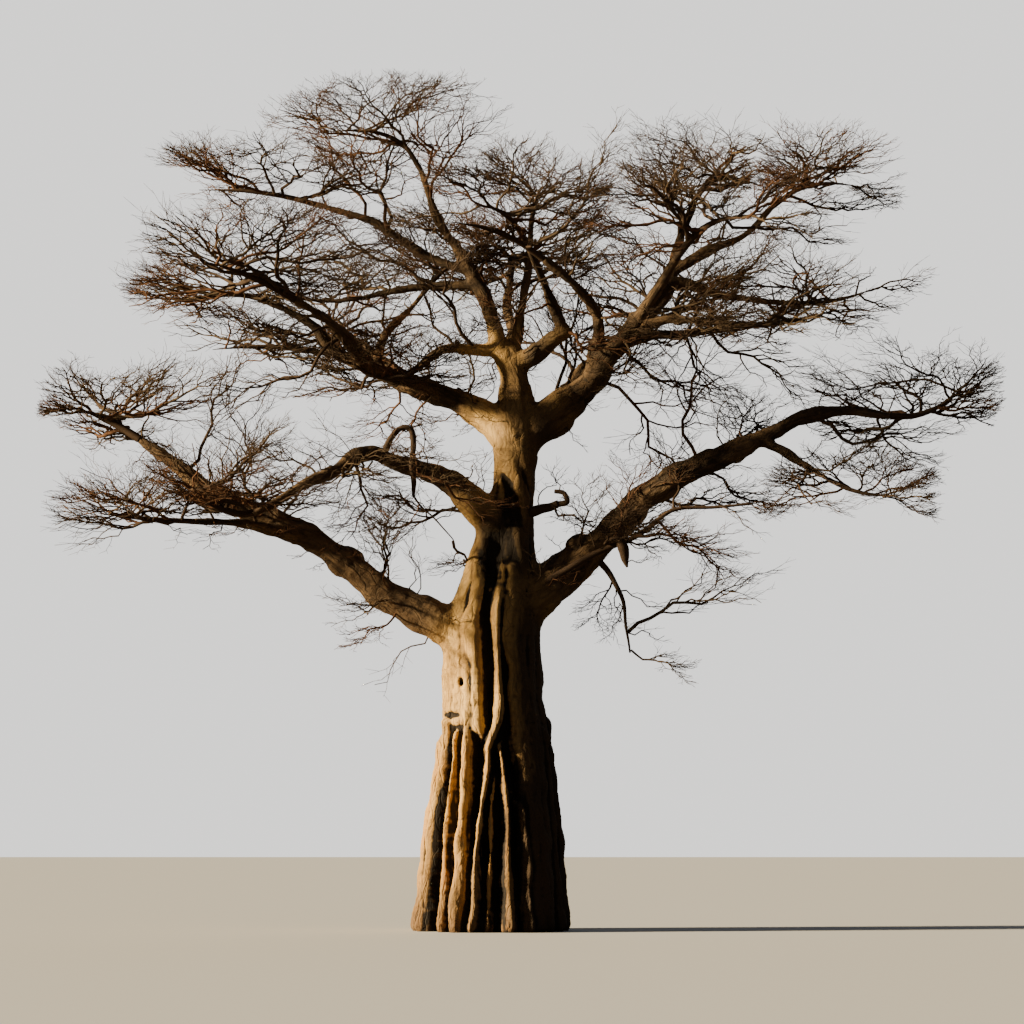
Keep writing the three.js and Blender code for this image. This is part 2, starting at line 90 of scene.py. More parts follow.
# A limb that stands at TIP grows on from its parent's tip. FOOT_WOOD numbers the trunk's foot.
TIP = 1
FOOT_WOOD = -1
GOLDEN_TURN = 137.5
GOLDEN_SHARE = 0.618034
FIRST_SEED = 20260
LOOSE_SEED = 700
STEM_SEED = 99
AIM_SEED = 7
BEND_SEED = 3
SIDE_SEED = 41
SIDE_STEP = 977
SIDE_INDEX = 5
SIZE_SEED = 8
BACK_SEED = 41
KNOB_SEED = 53
OPEN_SEED = 61
PHASES = 97
SPRAYS = 7
UP = np.array([0.0, 0.0, 1.0])
EAST = np.array([1.0, 0.0, 0.0])
LEVEL = np.array([1.0, 1.0, 0.0])
NEARLY_UP = UP + 1e-3
STEEP = 0.9


@dataclass(frozen=True)
class MassPlan:
    """The space of the twigs at a limb's tip: half sizes, and its middle ahead and above."""

    spread: float
    height: float
    ahead: float
    above: float


@dataclass(frozen=True)
class LimbPlan:
    """One tapering limb: where it leaves, its heading, rise and radius at foot and tip."""

    name: str
    grows_from: str
    at: float
    heading: Pair
    rise: Pair
    length: float
    radius: Pair
    mass: MassPlan | None = None


@dataclass(frozen=True)
class LoosePlan:
    """A slender loose branch, drawn by points with their radius: x, y, z, radius."""

    name: str
    points: tuple[tuple[float, float, float, float], ...]

    def limb(self, number: int) -> Limb:
        """The limb that the points draw, with a seed of its own number."""
        rows = np.array(self.points)
        length = float(np.linalg.norm(np.diff(rows[:, :3], axis=0), axis=1).sum())
        sizes = LimbPlan(self.name, "", 0, (0, 0), (0, 0), length, (rows[0, 3], rows[-1, 3]))
        return Limb(sizes, LOOSE_SEED + number, rows[:, :3], rows[:, 3])


LOOSE_PLANS = (
    LoosePlan("leaning_branch", (
        (0.9, -0.4, 7.0, 0.085), (1.35, -0.62, 7.4, 0.075), (1.98, -0.75, 7.8, 0.065),
        (2.8, -0.85, 8.2, 0.055), (3.3, -0.92, 8.5, 0.05), (3.84, -1.0, 8.72, 0.042),
        (4.6, -1.05, 8.78, 0.034), (5.4, -1.1, 8.85, 0.024))),
    LoosePlan("broken_stub", (
        (2.42, -0.79, 8.02, 0.055), (2.56, -0.81, 8.08, 0.075), (2.68, -0.83, 8.05, 0.1),
        (2.76, -0.84, 7.9, 0.12), (2.8, -0.84, 7.7, 0.09), (2.84, -0.85, 7.5, 0.02))),
    LoosePlan("arched_branch", (
        (-2.22, -1.1, 9.82, 0.08), (-2.08, -1.18, 10.14, 0.065), (-1.86, -1.24, 10.36, 0.058),
        (-1.66, -1.26, 10.3, 0.065), (-1.6, -1.26, 9.98, 0.062), (-1.64, -1.26, 9.6, 0.05),
        (-1.58, -1.25, 9.25, 0.058), (-1.6, -1.24, 8.93, 0.03))),
    LoosePlan("drooping_twig", (
        (-1.6, -1.24, 8.97, 0.024), (-1.45, -1.2, 8.75, 0.02), (-1.15, -1.1, 8.45, 0.017),
        (-0.8, -0.95, 8.1, 0.012), (-0.72, -0.85, 7.9, 0.008))),
)

LONE_LIMBS = ("hooked_stub", "hooked_stub_tip", "hanging_branch")
LIMB_PLANS = (
    LimbPlan("low_left_bough", "trunk", 5.75, (184, 182), (34, 30), 5.75, (0.35, 0.24)),
    LimbPlan("low_left_outer", "low_left_bough", TIP, (182, 172), (12, 48), 3, (0.24, 0.09),
             MassPlan(2.2, 1.82, 0, 0.6)),
    LimbPlan("low_left_side", "low_left_bough", 0.78, (216, 204), (10, 2), 2.7, (0.13, 0.06),
             MassPlan(2.4, 1.43, 0.7, 0.1)),
    LimbPlan("middle_left_bough", "trunk", 8.3, (199, 198), (49, 16), 2.7, (0.28, 0.18)),
    LimbPlan("middle_left_outer", "middle_left_bough", TIP, (211, 220), (-34, -24), 3.5,
             (0.18, 0.085), MassPlan(2.3, 1.56, 0.7, 0.3)),
    LimbPlan("upper_left_bough", "trunk", 10.1, (175, 176), (43, 12), 3.7, (0.29, 0.17)),
    LimbPlan("upper_left_outer", "upper_left_bough", TIP, (182, 193), (88, 13), 2.3, (0.17, 0.07),
             MassPlan(2.6, 1.56, 0.9, 0)),
    LimbPlan("upper_left_riser", "upper_left_bough", 0.97, (20, 10), (68, 40), 2.4, (0.09, 0.05),
             MassPlan(1.8, 1.17, 0, 0.5)),
    LimbPlan("leader_left", "trunk", 11.5, (179, 185), (66, 64), 5, (0.21, 0.06),
             MassPlan(3, 1.12, 0.5, 0.75)),
    LimbPlan("leader_left_branch", "leader_left", 0.51, (185, 189), (27, 24), 3.45, (0.13, 0.065),
             MassPlan(2.8, 1.37, 1.1, 0.35)),
    LimbPlan("leader_left_low", "leader_left", 0.45, (170, 181), (0, -11), 2.5, (0.085, 0.05),
             MassPlan(2.2, 1.17, 0.7, 0.2)),
    LimbPlan("short_left_bough", "trunk", 12.2, (194, 205), (16, -39), 2.3, (0.15, 0.06),
             MassPlan(1.7, 1.17, 0.5, 0.1)),
    LimbPlan("leader_right", "trunk", 11.9, (-20, -21), (20, 41), 1.45, (0.18, 0.13)),
    LimbPlan("leader_right_return", "leader_right", 0.9, (236, 250), (50, 34), 2.2, (0.12, 0.065),
             MassPlan(2.6, 1.69, 0.9, 0.5)),
    LimbPlan("thin_upright", "trunk", 12, (30, 80), (72, 80), 3.2, (0.1, 0.055),
             MassPlan(3, 1.2, 0.1, 0.8)),
    LimbPlan("great_right_bough", "trunk", 10.15, (3, 3), (39, 53), 3.75, (0.38, 0.18)),
    LimbPlan("great_right_low", "great_right_bough", TIP, (7, -5), (-12, -12), 3.2, (0.17, 0.06),
             MassPlan(2.7, 1.43, 0.9, 0.3)),
    LimbPlan("great_right_riser", "great_right_bough", 0.94, (20, 22), (48, 83), 3.3, (0.17, 0.065),
             MassPlan(3.1, 1.25, 0.1, 0.3)),
    LimbPlan("great_right_upper", "great_right_riser", 0.48, (0, 5), (21, 41), 2.65, (0.11, 0.06),
             MassPlan(2.5, 1.4, 0.6, 0.45)),
    LimbPlan("great_right_droop", "great_right_bough", 0.92, (-27, -32), (14, -20), 2.85,
             (0.1, 0.05), MassPlan(2.3, 1.3, 0.7, 0.1)),
    LimbPlan("crossing_bough", "great_right_bough", 0.55, (301, 198), (43, 35), 3.65, (0.17, 0.075),
             MassPlan(2.3, 1.43, 0.8, 0.6)),
    LimbPlan("low_right_bough", "trunk", 6.35, (-5, 2), (44, 29), 7.1, (0.42, 0.19)),
    LimbPlan("low_right_outer", "low_right_bough", TIP, (-2, 12), (61, -28), 2.85, (0.19, 0.075),
             MassPlan(2.3, 1.82, 0.3, 0.6)),
    LimbPlan("low_right_side", "low_right_bough", 0.97, (-13, -30), (-21, -40), 1.8, (0.09, 0.05),
             MassPlan(1.9, 1.43, 0.5, -0.4)),
    LimbPlan("hooked_stub", "trunk", 8.7, (-12, -18), (2, 20), 1.13, (0.1, 0.065)),
    LimbPlan("hanging_branch", "low_right_bough", 0.37, (-30, -10), (-50, -88), 2.4, (0.06, 0.02)),
    LimbPlan("back_left_bough", "trunk", 10, (132, 126), (32, 20), 6.2, (0.26, 0.09),
             MassPlan(3.1, 1.95, 0.9, 0.7)),
    LimbPlan("back_left_side", "back_left_bough", 0.5, (172, 162), (30, 14), 3, (0.15, 0.07),
             MassPlan(2.7, 1.56, 0.9, 0.1)),
    LimbPlan("back_right_bough", "trunk", 10.05, (54, 50), (42, 28), 6, (0.26, 0.09),
             MassPlan(3.1, 1.82, 0.9, 0.9)),
    LimbPlan("back_right_side", "back_right_bough", 0.75, (14, 24), (18, 4), 2.6, (0.13, 0.07),
             MassPlan(2.7, 1.4, 0.9, 0.4)),
    LimbPlan("front_left_bough", "upper_left_bough", 0.85, (250, 234), (10, 26), 4, (0.16, 0.08),
             MassPlan(3, 1.69, 0.9, 0.4)),
    LimbPlan("front_right_bough", "great_right_bough", 0.55, (292, 306), (20, 40), 4.2,
             (0.19, 0.08), MassPlan(3, 1.69, 0.9, 0.4)),
    LimbPlan("back_upper_bough", "trunk", 11.3, (100, 86), (50, 42), 4, (0.18, 0.08),
             MassPlan(2.8, 1.56, 0.8, 0.6)),
    LimbPlan("hooked_stub_tip", "hooked_stub", TIP, (-18, -18), (17, 200), 0.6, (0.065, 0.045)),
)


def mix(a: float, b: float, share: float | Array) -> float | Array:
    """The value that lies at a share of the way from a to b."""
    return a + (b - a) * share


def smooth(x: Array) -> Array:
    """A soft step from 0 to 1 as x goes from 0 to 1."""
    t = np.clip(x, 0.0, 1.0)
    return t * t * (3 - 2 * t)


def direction(heading: Array, rise: Array) -> Array:
    """Unit vectors of headings and rises in degrees."""
    turn, lift = np.radians(heading), np.radians(rise)
    level = np.cos(lift)
    return np.stack([level * np.cos(turn), level * np.sin(turn), np.sin(lift)], axis=-1)


def unit(vectors: Array) -> Array:
    """The vectors at length 1."""
    return vectors / np.maximum(np.linalg.norm(vectors, axis=-1, keepdims=True), 1e-12)


def sideways(along: Array) -> tuple[Array, Array]:
    """Two unit vectors that are square to a direction and to each other."""
    side = unit(np.cross(along, NEARLY_UP))
    return side, np.cross(along, side)


def held(values: Array, limits: Triple) -> Array:
    """The values times a gain and held between two limits, given as gain, least and most."""
    gain, least, most = limits
    return np.clip(values * gain, least, most)


def child_seed(seed: Array, index: int) -> Array:
    """The seed of the numbered child of each seed.

    Args:
        seed: Parent seeds, as unsigned 32-bit numbers.
        index: The child's number.

    Returns:
        Seeds of the same shape.
    """
    mixed = (seed.astype(np.uint64) ^ np.uint64(0x9E3779B9)) * np.uint64(2654435761)
    return ((mixed + np.uint64((index + 1) * 40503)) & np.uint64(0xFFFFFFFF)).astype(np.uint32)


def own_seed(index: int, family: int = 0) -> Array:
    """The seed of a numbered part of the tree, within a family of such parts."""
    return child_seed(np.array([FIRST_SEED + family], np.uint32), index)


class Dice:
    """Repeatable streams of numbers from 0 to 1, one for each seed."""

    def __init__(self, seeds: Array) -> None:
        """Starts a stream at each seed."""
        self.state = seeds.astype(np.uint64)

    def roll(self) -> Array:
        """The next number of every stream."""
        low = np.uint64(0xFFFFFFFF)
        self.state = (self.state + np.uint64(0x6D2B79F5)) & low
        t = self.state
        t = ((t ^ (t >> np.uint64(15))) * (t | np.uint64(1))) & low
        t = t ^ ((t + (((t ^ (t >> np.uint64(7))) * (t | np.uint64(61))) & low)) & low)
        return (t ^ (t >> np.uint64(14))).astype(float) / 4294967296.0


@dataclass(frozen=True)
class TrunkForm:
    """The trunk's taper, lean, fused columns and folds."""

    heights: tuple[float, ...] = (0, 0.8, 2.2, 3.6, 4.6, 5.6, 6.4, 7.2, 8.2, 9.4, 10.4, 11.3, 12.3)
    radii: tuple[float, ...] = (
        1.72, 1.58, 1.45, 1.24, 1.1, 1.06, 1.05, 0.84, 0.64, 0.48, 0.48, 0.36, 0.2)
    easts: tuple[float, ...] = (
        0, 0.02, 0.04, 0.08, 0.06, 0.02, 0.03, 0.16, 0.29, 0.49, 0.56, 0.52, 0.44)
    column_grooves: tuple[float, ...] = (20, 68, 112, 158, 208, 246, 272, 322)
    fold_grooves: tuple[float, ...] = (
        8, 36, 70, 96, 128, 158, 182, 204, 222, 238, 256, 278, 300, 332)
    column_depth: float = 0.13
    fold_depth: float = 0.17
    fold_top: float = 4.7
    fold_fade: float = 1.1
    head_fade: float = 2.0
    sharpness: float = 0.55

    @property
    def top(self) -> float:
        """The height of the trunk's tip."""
        return self.heights[-1]

    def value(self, values: tuple[float, ...], height: Array) -> Array:
        """A station's value at any height, on a smooth curve through the stations.

        Args:
            values: One value for each station.
            height: Heights in metres.

        Returns:
            The value at each height.
        """
        at, val = np.array(self.heights, float), np.array(values, float)
        last = len(at) - 1
        i = np.clip(np.searchsorted(at, height, side="left") - 1, 0, last - 1)
        before, after = np.maximum(i - 1, 0), np.minimum(i + 2, last)
        span = at[i + 1] - at[i]
        t = np.clip((height - at[i]) / span, 0, 1)
        slope_a = (val[i + 1] - val[before]) / (at[i + 1] - at[before]) * span
        slope_b = (val[after] - val[i]) / (at[after] - at[i]) * span
        t2, t3 = t * t, t * t * t
        return ((2 * t3 - 3 * t2 + 1) * val[i] + (t3 - 2 * t2 + t) * slope_a
                + (3 * t2 - 2 * t3) * val[i + 1] + (t3 - t2) * slope_b)

    def girth(self, height: Array) -> Array:
        """The trunk's radius over its columns at each height."""
        return self.value(self.radii, height)

    def centre(self, height: Array) -> Array:
        """The points on the trunk's middle line at each height."""
        east = self.value(self.easts, height)
        return np.stack([east, np.zeros_like(east), np.asarray(height, float)], axis=-1)

    def seen_from_middle(self, points: Array) -> tuple[Array, Array, Array]:
        """Finds where points lie round the trunk.

        Args:
            points: Points, one a row.

        Returns:
            For each, the height on the trunk nearest to it, its heading and how far out it is.
        """
        height = np.clip(points[:, 2], 0, self.top)
        offset = points - self.centre(height)
        heading = np.degrees(np.arctan2(offset[:, 1], offset[:, 0]))
        return height, heading, np.hypot(offset[:, 0], offset[:, 1])

    def bulge(self, grooves: tuple[float, ...], heading: Array) -> Array:
        """1 on the crown of a column and 0 in the groove between two.

        Args:
            grooves: The headings of the grooves.
            heading: Headings of the surface in degrees.

        Returns:
            The bulge at each heading.
        """
        cuts = np.array(grooves, float)
        wrapped = np.concatenate([[cuts[-1] - 360], cuts, [cuts[0] + 360]])
        angle = np.mod(heading, 360)
        i = np.searchsorted(wrapped, angle, side="right") - 1
        share = (angle - wrapped[i]) / (wrapped[i + 1] - wrapped[i])
        return np.sin(np.pi * np.clip(share, 0, 1)) ** self.sharpness

    def radius(self, height: Array, heading: Array) -> Array:
        """The trunk's surface radius at each height and heading.

        Args:
            height: Heights in metres.
            heading: Headings in degrees.

        Returns:
            Radii in metres, with columns above and folds below.
        """
        folds = smooth((self.fold_top - height) / self.fold_fade + 0.5)
        columns = 1 - self.bulge(self.column_grooves, heading)
        folded = 1 - self.bulge(self.fold_grooves, heading)
        fade = smooth((self.top - height) / self.head_fade)
        depth = mix(self.column_depth * fade * columns, self.fold_depth * folded, folds)
        return self.girth(height) * (1 - depth)


@dataclass
class Limb:
    """A grown limb: its plan, seed, path, radii and, for a bearing limb, its mass's space."""

    plan: LimbPlan
    seed: int
    path: Array
    radii: Array
    centre: Array | None = None
    half: Array | None = None

    def at_share(self, share: float) -> tuple[Array, Array, float]:
        """The point, direction and radius at a share of the limb's length."""
        spans = len(self.path) - 1
        i = min(spans - 1, int(share * spans))
        t = share * spans - i
        along = unit(self.path[i + 1] - self.path[i])
        return mix(self.path[i], self.path[i + 1], t), along, mix(*self.radii[i:i + 2], t)


@dataclass(frozen=True)
class LimbRule:
    """How every limb bends, tapers and swells where it leaves a thicker one."""

    step: float = 1.0
    wobble: float = 8
    waves: float = 1.4
    collar_swell: float = 0.42
    collar_length: float = 0.75
    foot_share: float = 0.75
    joint_gap: float = 0.0003

    def grow(self, plan: LimbPlan, index: int, grown: dict[str, Limb], trunk: TrunkForm) -> Limb:
        """Gives a limb its path and radii.

        Args:
            plan: The limb's sizes.
            index: Its number in the table.
            grown: The limbs grown before it.
            trunk: The trunk that the first limbs leave.

        Returns:
            The grown limb.
        """
        seed = own_seed(index)
        dice = Dice(seed)
        phases = [float(dice.roll()[0]), float(dice.roll()[0])]
        grows_on = plan.at == TIP
        if plan.grows_from in grown:
            start, foot_along, parent_radius = grown[plan.grows_from].at_share(plan.at)
        else:
            start, foot_along = trunk.centre(np.array(plan.at)), UP
            parent_radius = float(trunk.girth(np.array(plan.at)))
        if grows_on:
            start = start + foot_along * self.joint_gap
        steps = max(3, math.floor(plan.length / self.step + 0.5))
        path = [start]
        for i in range(steps):
            share = (i + 0.5) / steps
            wave = [math.sin(2 * math.pi * (self.waves * share + p)) for p in phases]
            heading = mix(*plan.heading, share) + self.wobble * wave[0]
            rise = mix(*plan.rise, share) + self.wobble * wave[1]
            along = foot_along if grows_on and i == 0 else direction(heading, rise)
            path.append(path[i] + along * plan.length / steps)
        radii = []
        for i in range(steps + 1):
            out = max(0.0, plan.length * i / steps - parent_radius)
            swell = 0 if grows_on else self.collar_swell * math.exp(-out / self.collar_length)
            radius = mix(*plan.radius, i / steps) * (1 + swell)
            if i == 0 and not grows_on:
                radius = min(radius, self.foot_share * parent_radius)
            radii.append(radius)
        limb = Limb(plan, int(seed[0]), np.array(path), np.array(radii))
        if plan.mass:
            level = unit(limb.at_share(1)[1] * LEVEL)
            limb.centre = limb.path[-1] + level * plan.mass.ahead + UP * plan.mass.above
            limb.half = np.array([plan.mass.spread, plan.mass.spread, plan.mass.height])
        return limb


class Framework:
    """The trunk and all the limbs, and the room that they leave for twigs."""

    clearance = 0.04
    margin = 0.02
    stray = 1.3
    last_strict_level = 2
    batch = 4000

    def __init__(self, trunk: TrunkForm, rule: LimbRule) -> None:
        """Grows the limbs in the table's order."""
        self.trunk = trunk
        self.limbs: dict[str, Limb] = {}
        for index, plan in enumerate(LIMB_PLANS):
            self.limbs[plan.name] = rule.grow(plan, index, self.limbs, trunk)
        self.loose = {plan.name: plan.limb(number) for number, plan in enumerate(LOOSE_PLANS)}
        self.bearing = [limb for limb in self.limbs.values() if limb.plan.mass]
        self.centres = np.array([limb.centre for limb in self.bearing])
        self.halves = np.array([limb.half for limb in self.bearing])
        grown = self.limbs.values()
        self.starts = np.concatenate([limb.path[:-1] for limb in grown])
        self.ends = np.concatenate([limb.path[1:] for limb in grown])
        self.girths = np.concatenate([np.maximum(limb.radii[:-1], limb.radii[1:])
                                      for limb in grown])
        self.low, self.high = (np.array(corner) for corner in CAD_BOX)

    def keeps_to_space(self, points: Array, home: Array, level: int) -> Array:
        """Tells which points are in their own mass's space, and deeper in it than in any other.

        Args:
            points: Points, one a row.
            home: The number of each point's mass, or -1 for one that has no space.
            level: The shoots' level. The finer ones stray a little out of their space.

        Returns:
            A mask of the points.
        """
        in_reach = ((points > self.low) & (points < self.high)).all(axis=1)
        rows = np.arange(len(points))
        if level > self.last_strict_level:
            own = np.linalg.norm((points - self.centres[home]) / self.halves[home], axis=1)
            return in_reach & ((own <= self.stray) | (home < 0))
        depth = np.linalg.norm((points[:, None] - self.centres) / self.halves, axis=2)
        own = depth[rows, home].copy()
        depth[rows, home] = np.inf
        inside = (own <= 1) & (depth.min(axis=1) > own + self.margin)
        return in_reach & (inside | (home < 0))

    def clear_of_limbs(self, points: Array) -> Array:
        """Tells which points lie clear of the trunk and of every limb, a batch at a time."""
        result = np.ones(len(points), bool)
        line = self.ends - self.starts
        for low in range(0, len(points), self.batch):
            part = points[low:low + self.batch]
            offset = part[:, None] - self.starts
            t = np.clip((offset * line).sum(2) / (line * line).sum(1), 0, 1)
            apart = np.linalg.norm(offset - t[..., None] * line, axis=2)
            result[low:low + self.batch] = (apart > self.girths + self.clearance).all(axis=1)
        middle = self.trunk.centre(points[:, 2])
        out = np.hypot(points[:, 0] - middle[:, 0], points[:, 1])
        near = out < self.trunk.girth(points[:, 2]) + self.clearance
        return result & ~(near & (points[:, 2] < self.trunk.top + self.clearance))


@dataclass(frozen=True)
class ShootRule:
    """How the shoots of one level grow, and how finely they are drawn."""

    steps: int
    taper: float
    children: int
    first_child: float
    last_child: float
    reach: float
    child_share: Pair
    joints: int
    gnarl: float
    tests: tuple[float, ...] = (0.2, 0.4, 0.6, 0.8, 1.0)


SHOOT_RULES = [
    ShootRule(3, 0.55, 12, 0.12, 0.95, 1.0, (1, 1), 12, 0.0),
    ShootRule(3, 0.4, 10, 0.22, 0.9, 0.98, (0.66, 0.42), 10, 0.03),
    ShootRule(1, 0.4, 5, 0.2, 0.92, 0.95, (0.62, 0.4), 7, 0.04),
    ShootRule(2, 0.4, 2, 0.2, 0.9, 0.95, (0.6, 0.4), 3, 0.05, (0.5, 1.0)),
    ShootRule(1, 0.45, 0, 0.2, 0.9, 0.95, (0.5, 0.5), 1, 0.05, (1.0,)),
]


@dataclass(frozen=True)
class SideRule:
    """Shoots along the boughs: how many on a metre, their lengths, radii and first place."""

    density: float
    reach: Pair
    girth: Pair
    first: float


SIDE_RULES = {
    1: SideRule(1.3, (1.1, 2.8), (0.024, 0.045), 0.3),
    2: SideRule(2.6, (0.35, 1.4), (0.011, 0.02), 0.12),
}
LONGEST_BRANCHLET = 3.6
OPEN_MASSES = ("great_right_low", "great_right_droop", "back_left_bough", "back_left_side",
               "back_right_bough", "back_right_side")
OPEN_SHARE = 0.6
BENDS = ((1.3, 1.0), (2.9, 0.45))


@dataclass
class Shoots:
    """All the shoots of one level: coarse paths from the rule, and fine ones to be drawn."""

    level: int
    coarse: Array
    ends: Array
    radii: Array
    fine: Array
    seeds: Array
    lengths: Array
    home: Array
    spray: Array

    def along(self, share: Array) -> Array:
        """The direction of each coarse path at a share of its length."""
        rows = np.arange(len(self.coarse))
        i = np.minimum(self.ends - 1, (share * self.ends).astype(int))
        return unit(self.coarse[rows, i + 1] - self.coarse[rows, i])

    def girth(self, share: Array) -> Array:
        """The radius of each shoot at a share of its length."""
        steps = self.coarse.shape[1] - 1
        foot, tip = self.radii[:, 0], self.radii[:, 1]
        return mix(foot, tip, share * self.ends / steps)

    def point(self, share: Array) -> Array:
        """The point on each fine path at a share of its length."""
        rows = np.arange(len(self.fine))
        spans = self.fine.shape[1] - 1
        i = np.minimum(spans - 1, (share * spans).astype(int))
        t = (share * spans - i)[:, None]
        return mix(self.fine[rows, i], self.fine[rows, i + 1], t)


def flowing(coarse: Array, ends: Array, spans: int) -> Array:
    """Draws a smooth curve through each coarse path.

    Args:
        coarse: Paths, as an array of (path, point, 3).
        ends: The number of each path's last point.
        spans: How many spans each curve gets.

    Returns:
        Curves, as an array of (path, spans + 1, 3).
    """
    rows = np.arange(len(coarse))[:, None]
    place = np.linspace(0, 1, spans + 1)[None] * ends[:, None]
    i = np.minimum(ends[:, None] - 1, place.astype(int))
    t = (place - i)[..., None]
    a, b = coarse[rows, i], coarse[rows, i + 1]
    before = np.where((i > 0)[..., None], coarse[rows, np.maximum(i - 1, 0)], 2 * a - b)
    beyond = (i + 2 <= ends[:, None])[..., None]
    after = np.where(beyond, coarse[rows, np.minimum(i + 2, coarse.shape[1] - 1)], 2 * b - a)
    return 0.5 * (2 * a + (b - before) * t + (2 * before - 5 * a + 4 * b - after) * t ** 2
                  + (3 * a - before - 3 * b + after) * t ** 3)


def gnarled(curves: Array, seeds: Array, amount: float) -> Array:
    """Bends each curve a little to and fro in two waves, with its foot left in place.

    Args:
        curves: Curves, as an array of (curve, point, 3).
        seeds: A seed for each curve.
        amount: The size of the bends, as a share of the curve's length.

    Returns:
        The bent curves.
    """
    dice = Dice(child_seed(seeds, BEND_SEED))
    chord = curves[:, -1] - curves[:, 0]
    length = np.linalg.norm(chord, axis=1)
    side = unit(np.cross(chord, NEARLY_UP))
    other = unit(np.cross(chord, side))
    share = np.linspace(0, 1, curves.shape[1])[None]
    bent = curves.copy()
    for axis in (side, other):
        for waves, weight in BENDS:
            phase = dice.roll()[:, None] * 2 * np.pi
            wave = np.sin(2 * np.pi * waves * share + phase) - np.sin(phase)
            bent += axis[:, None] * (wave * amount * weight * length[:, None])[..., None]
    return bent


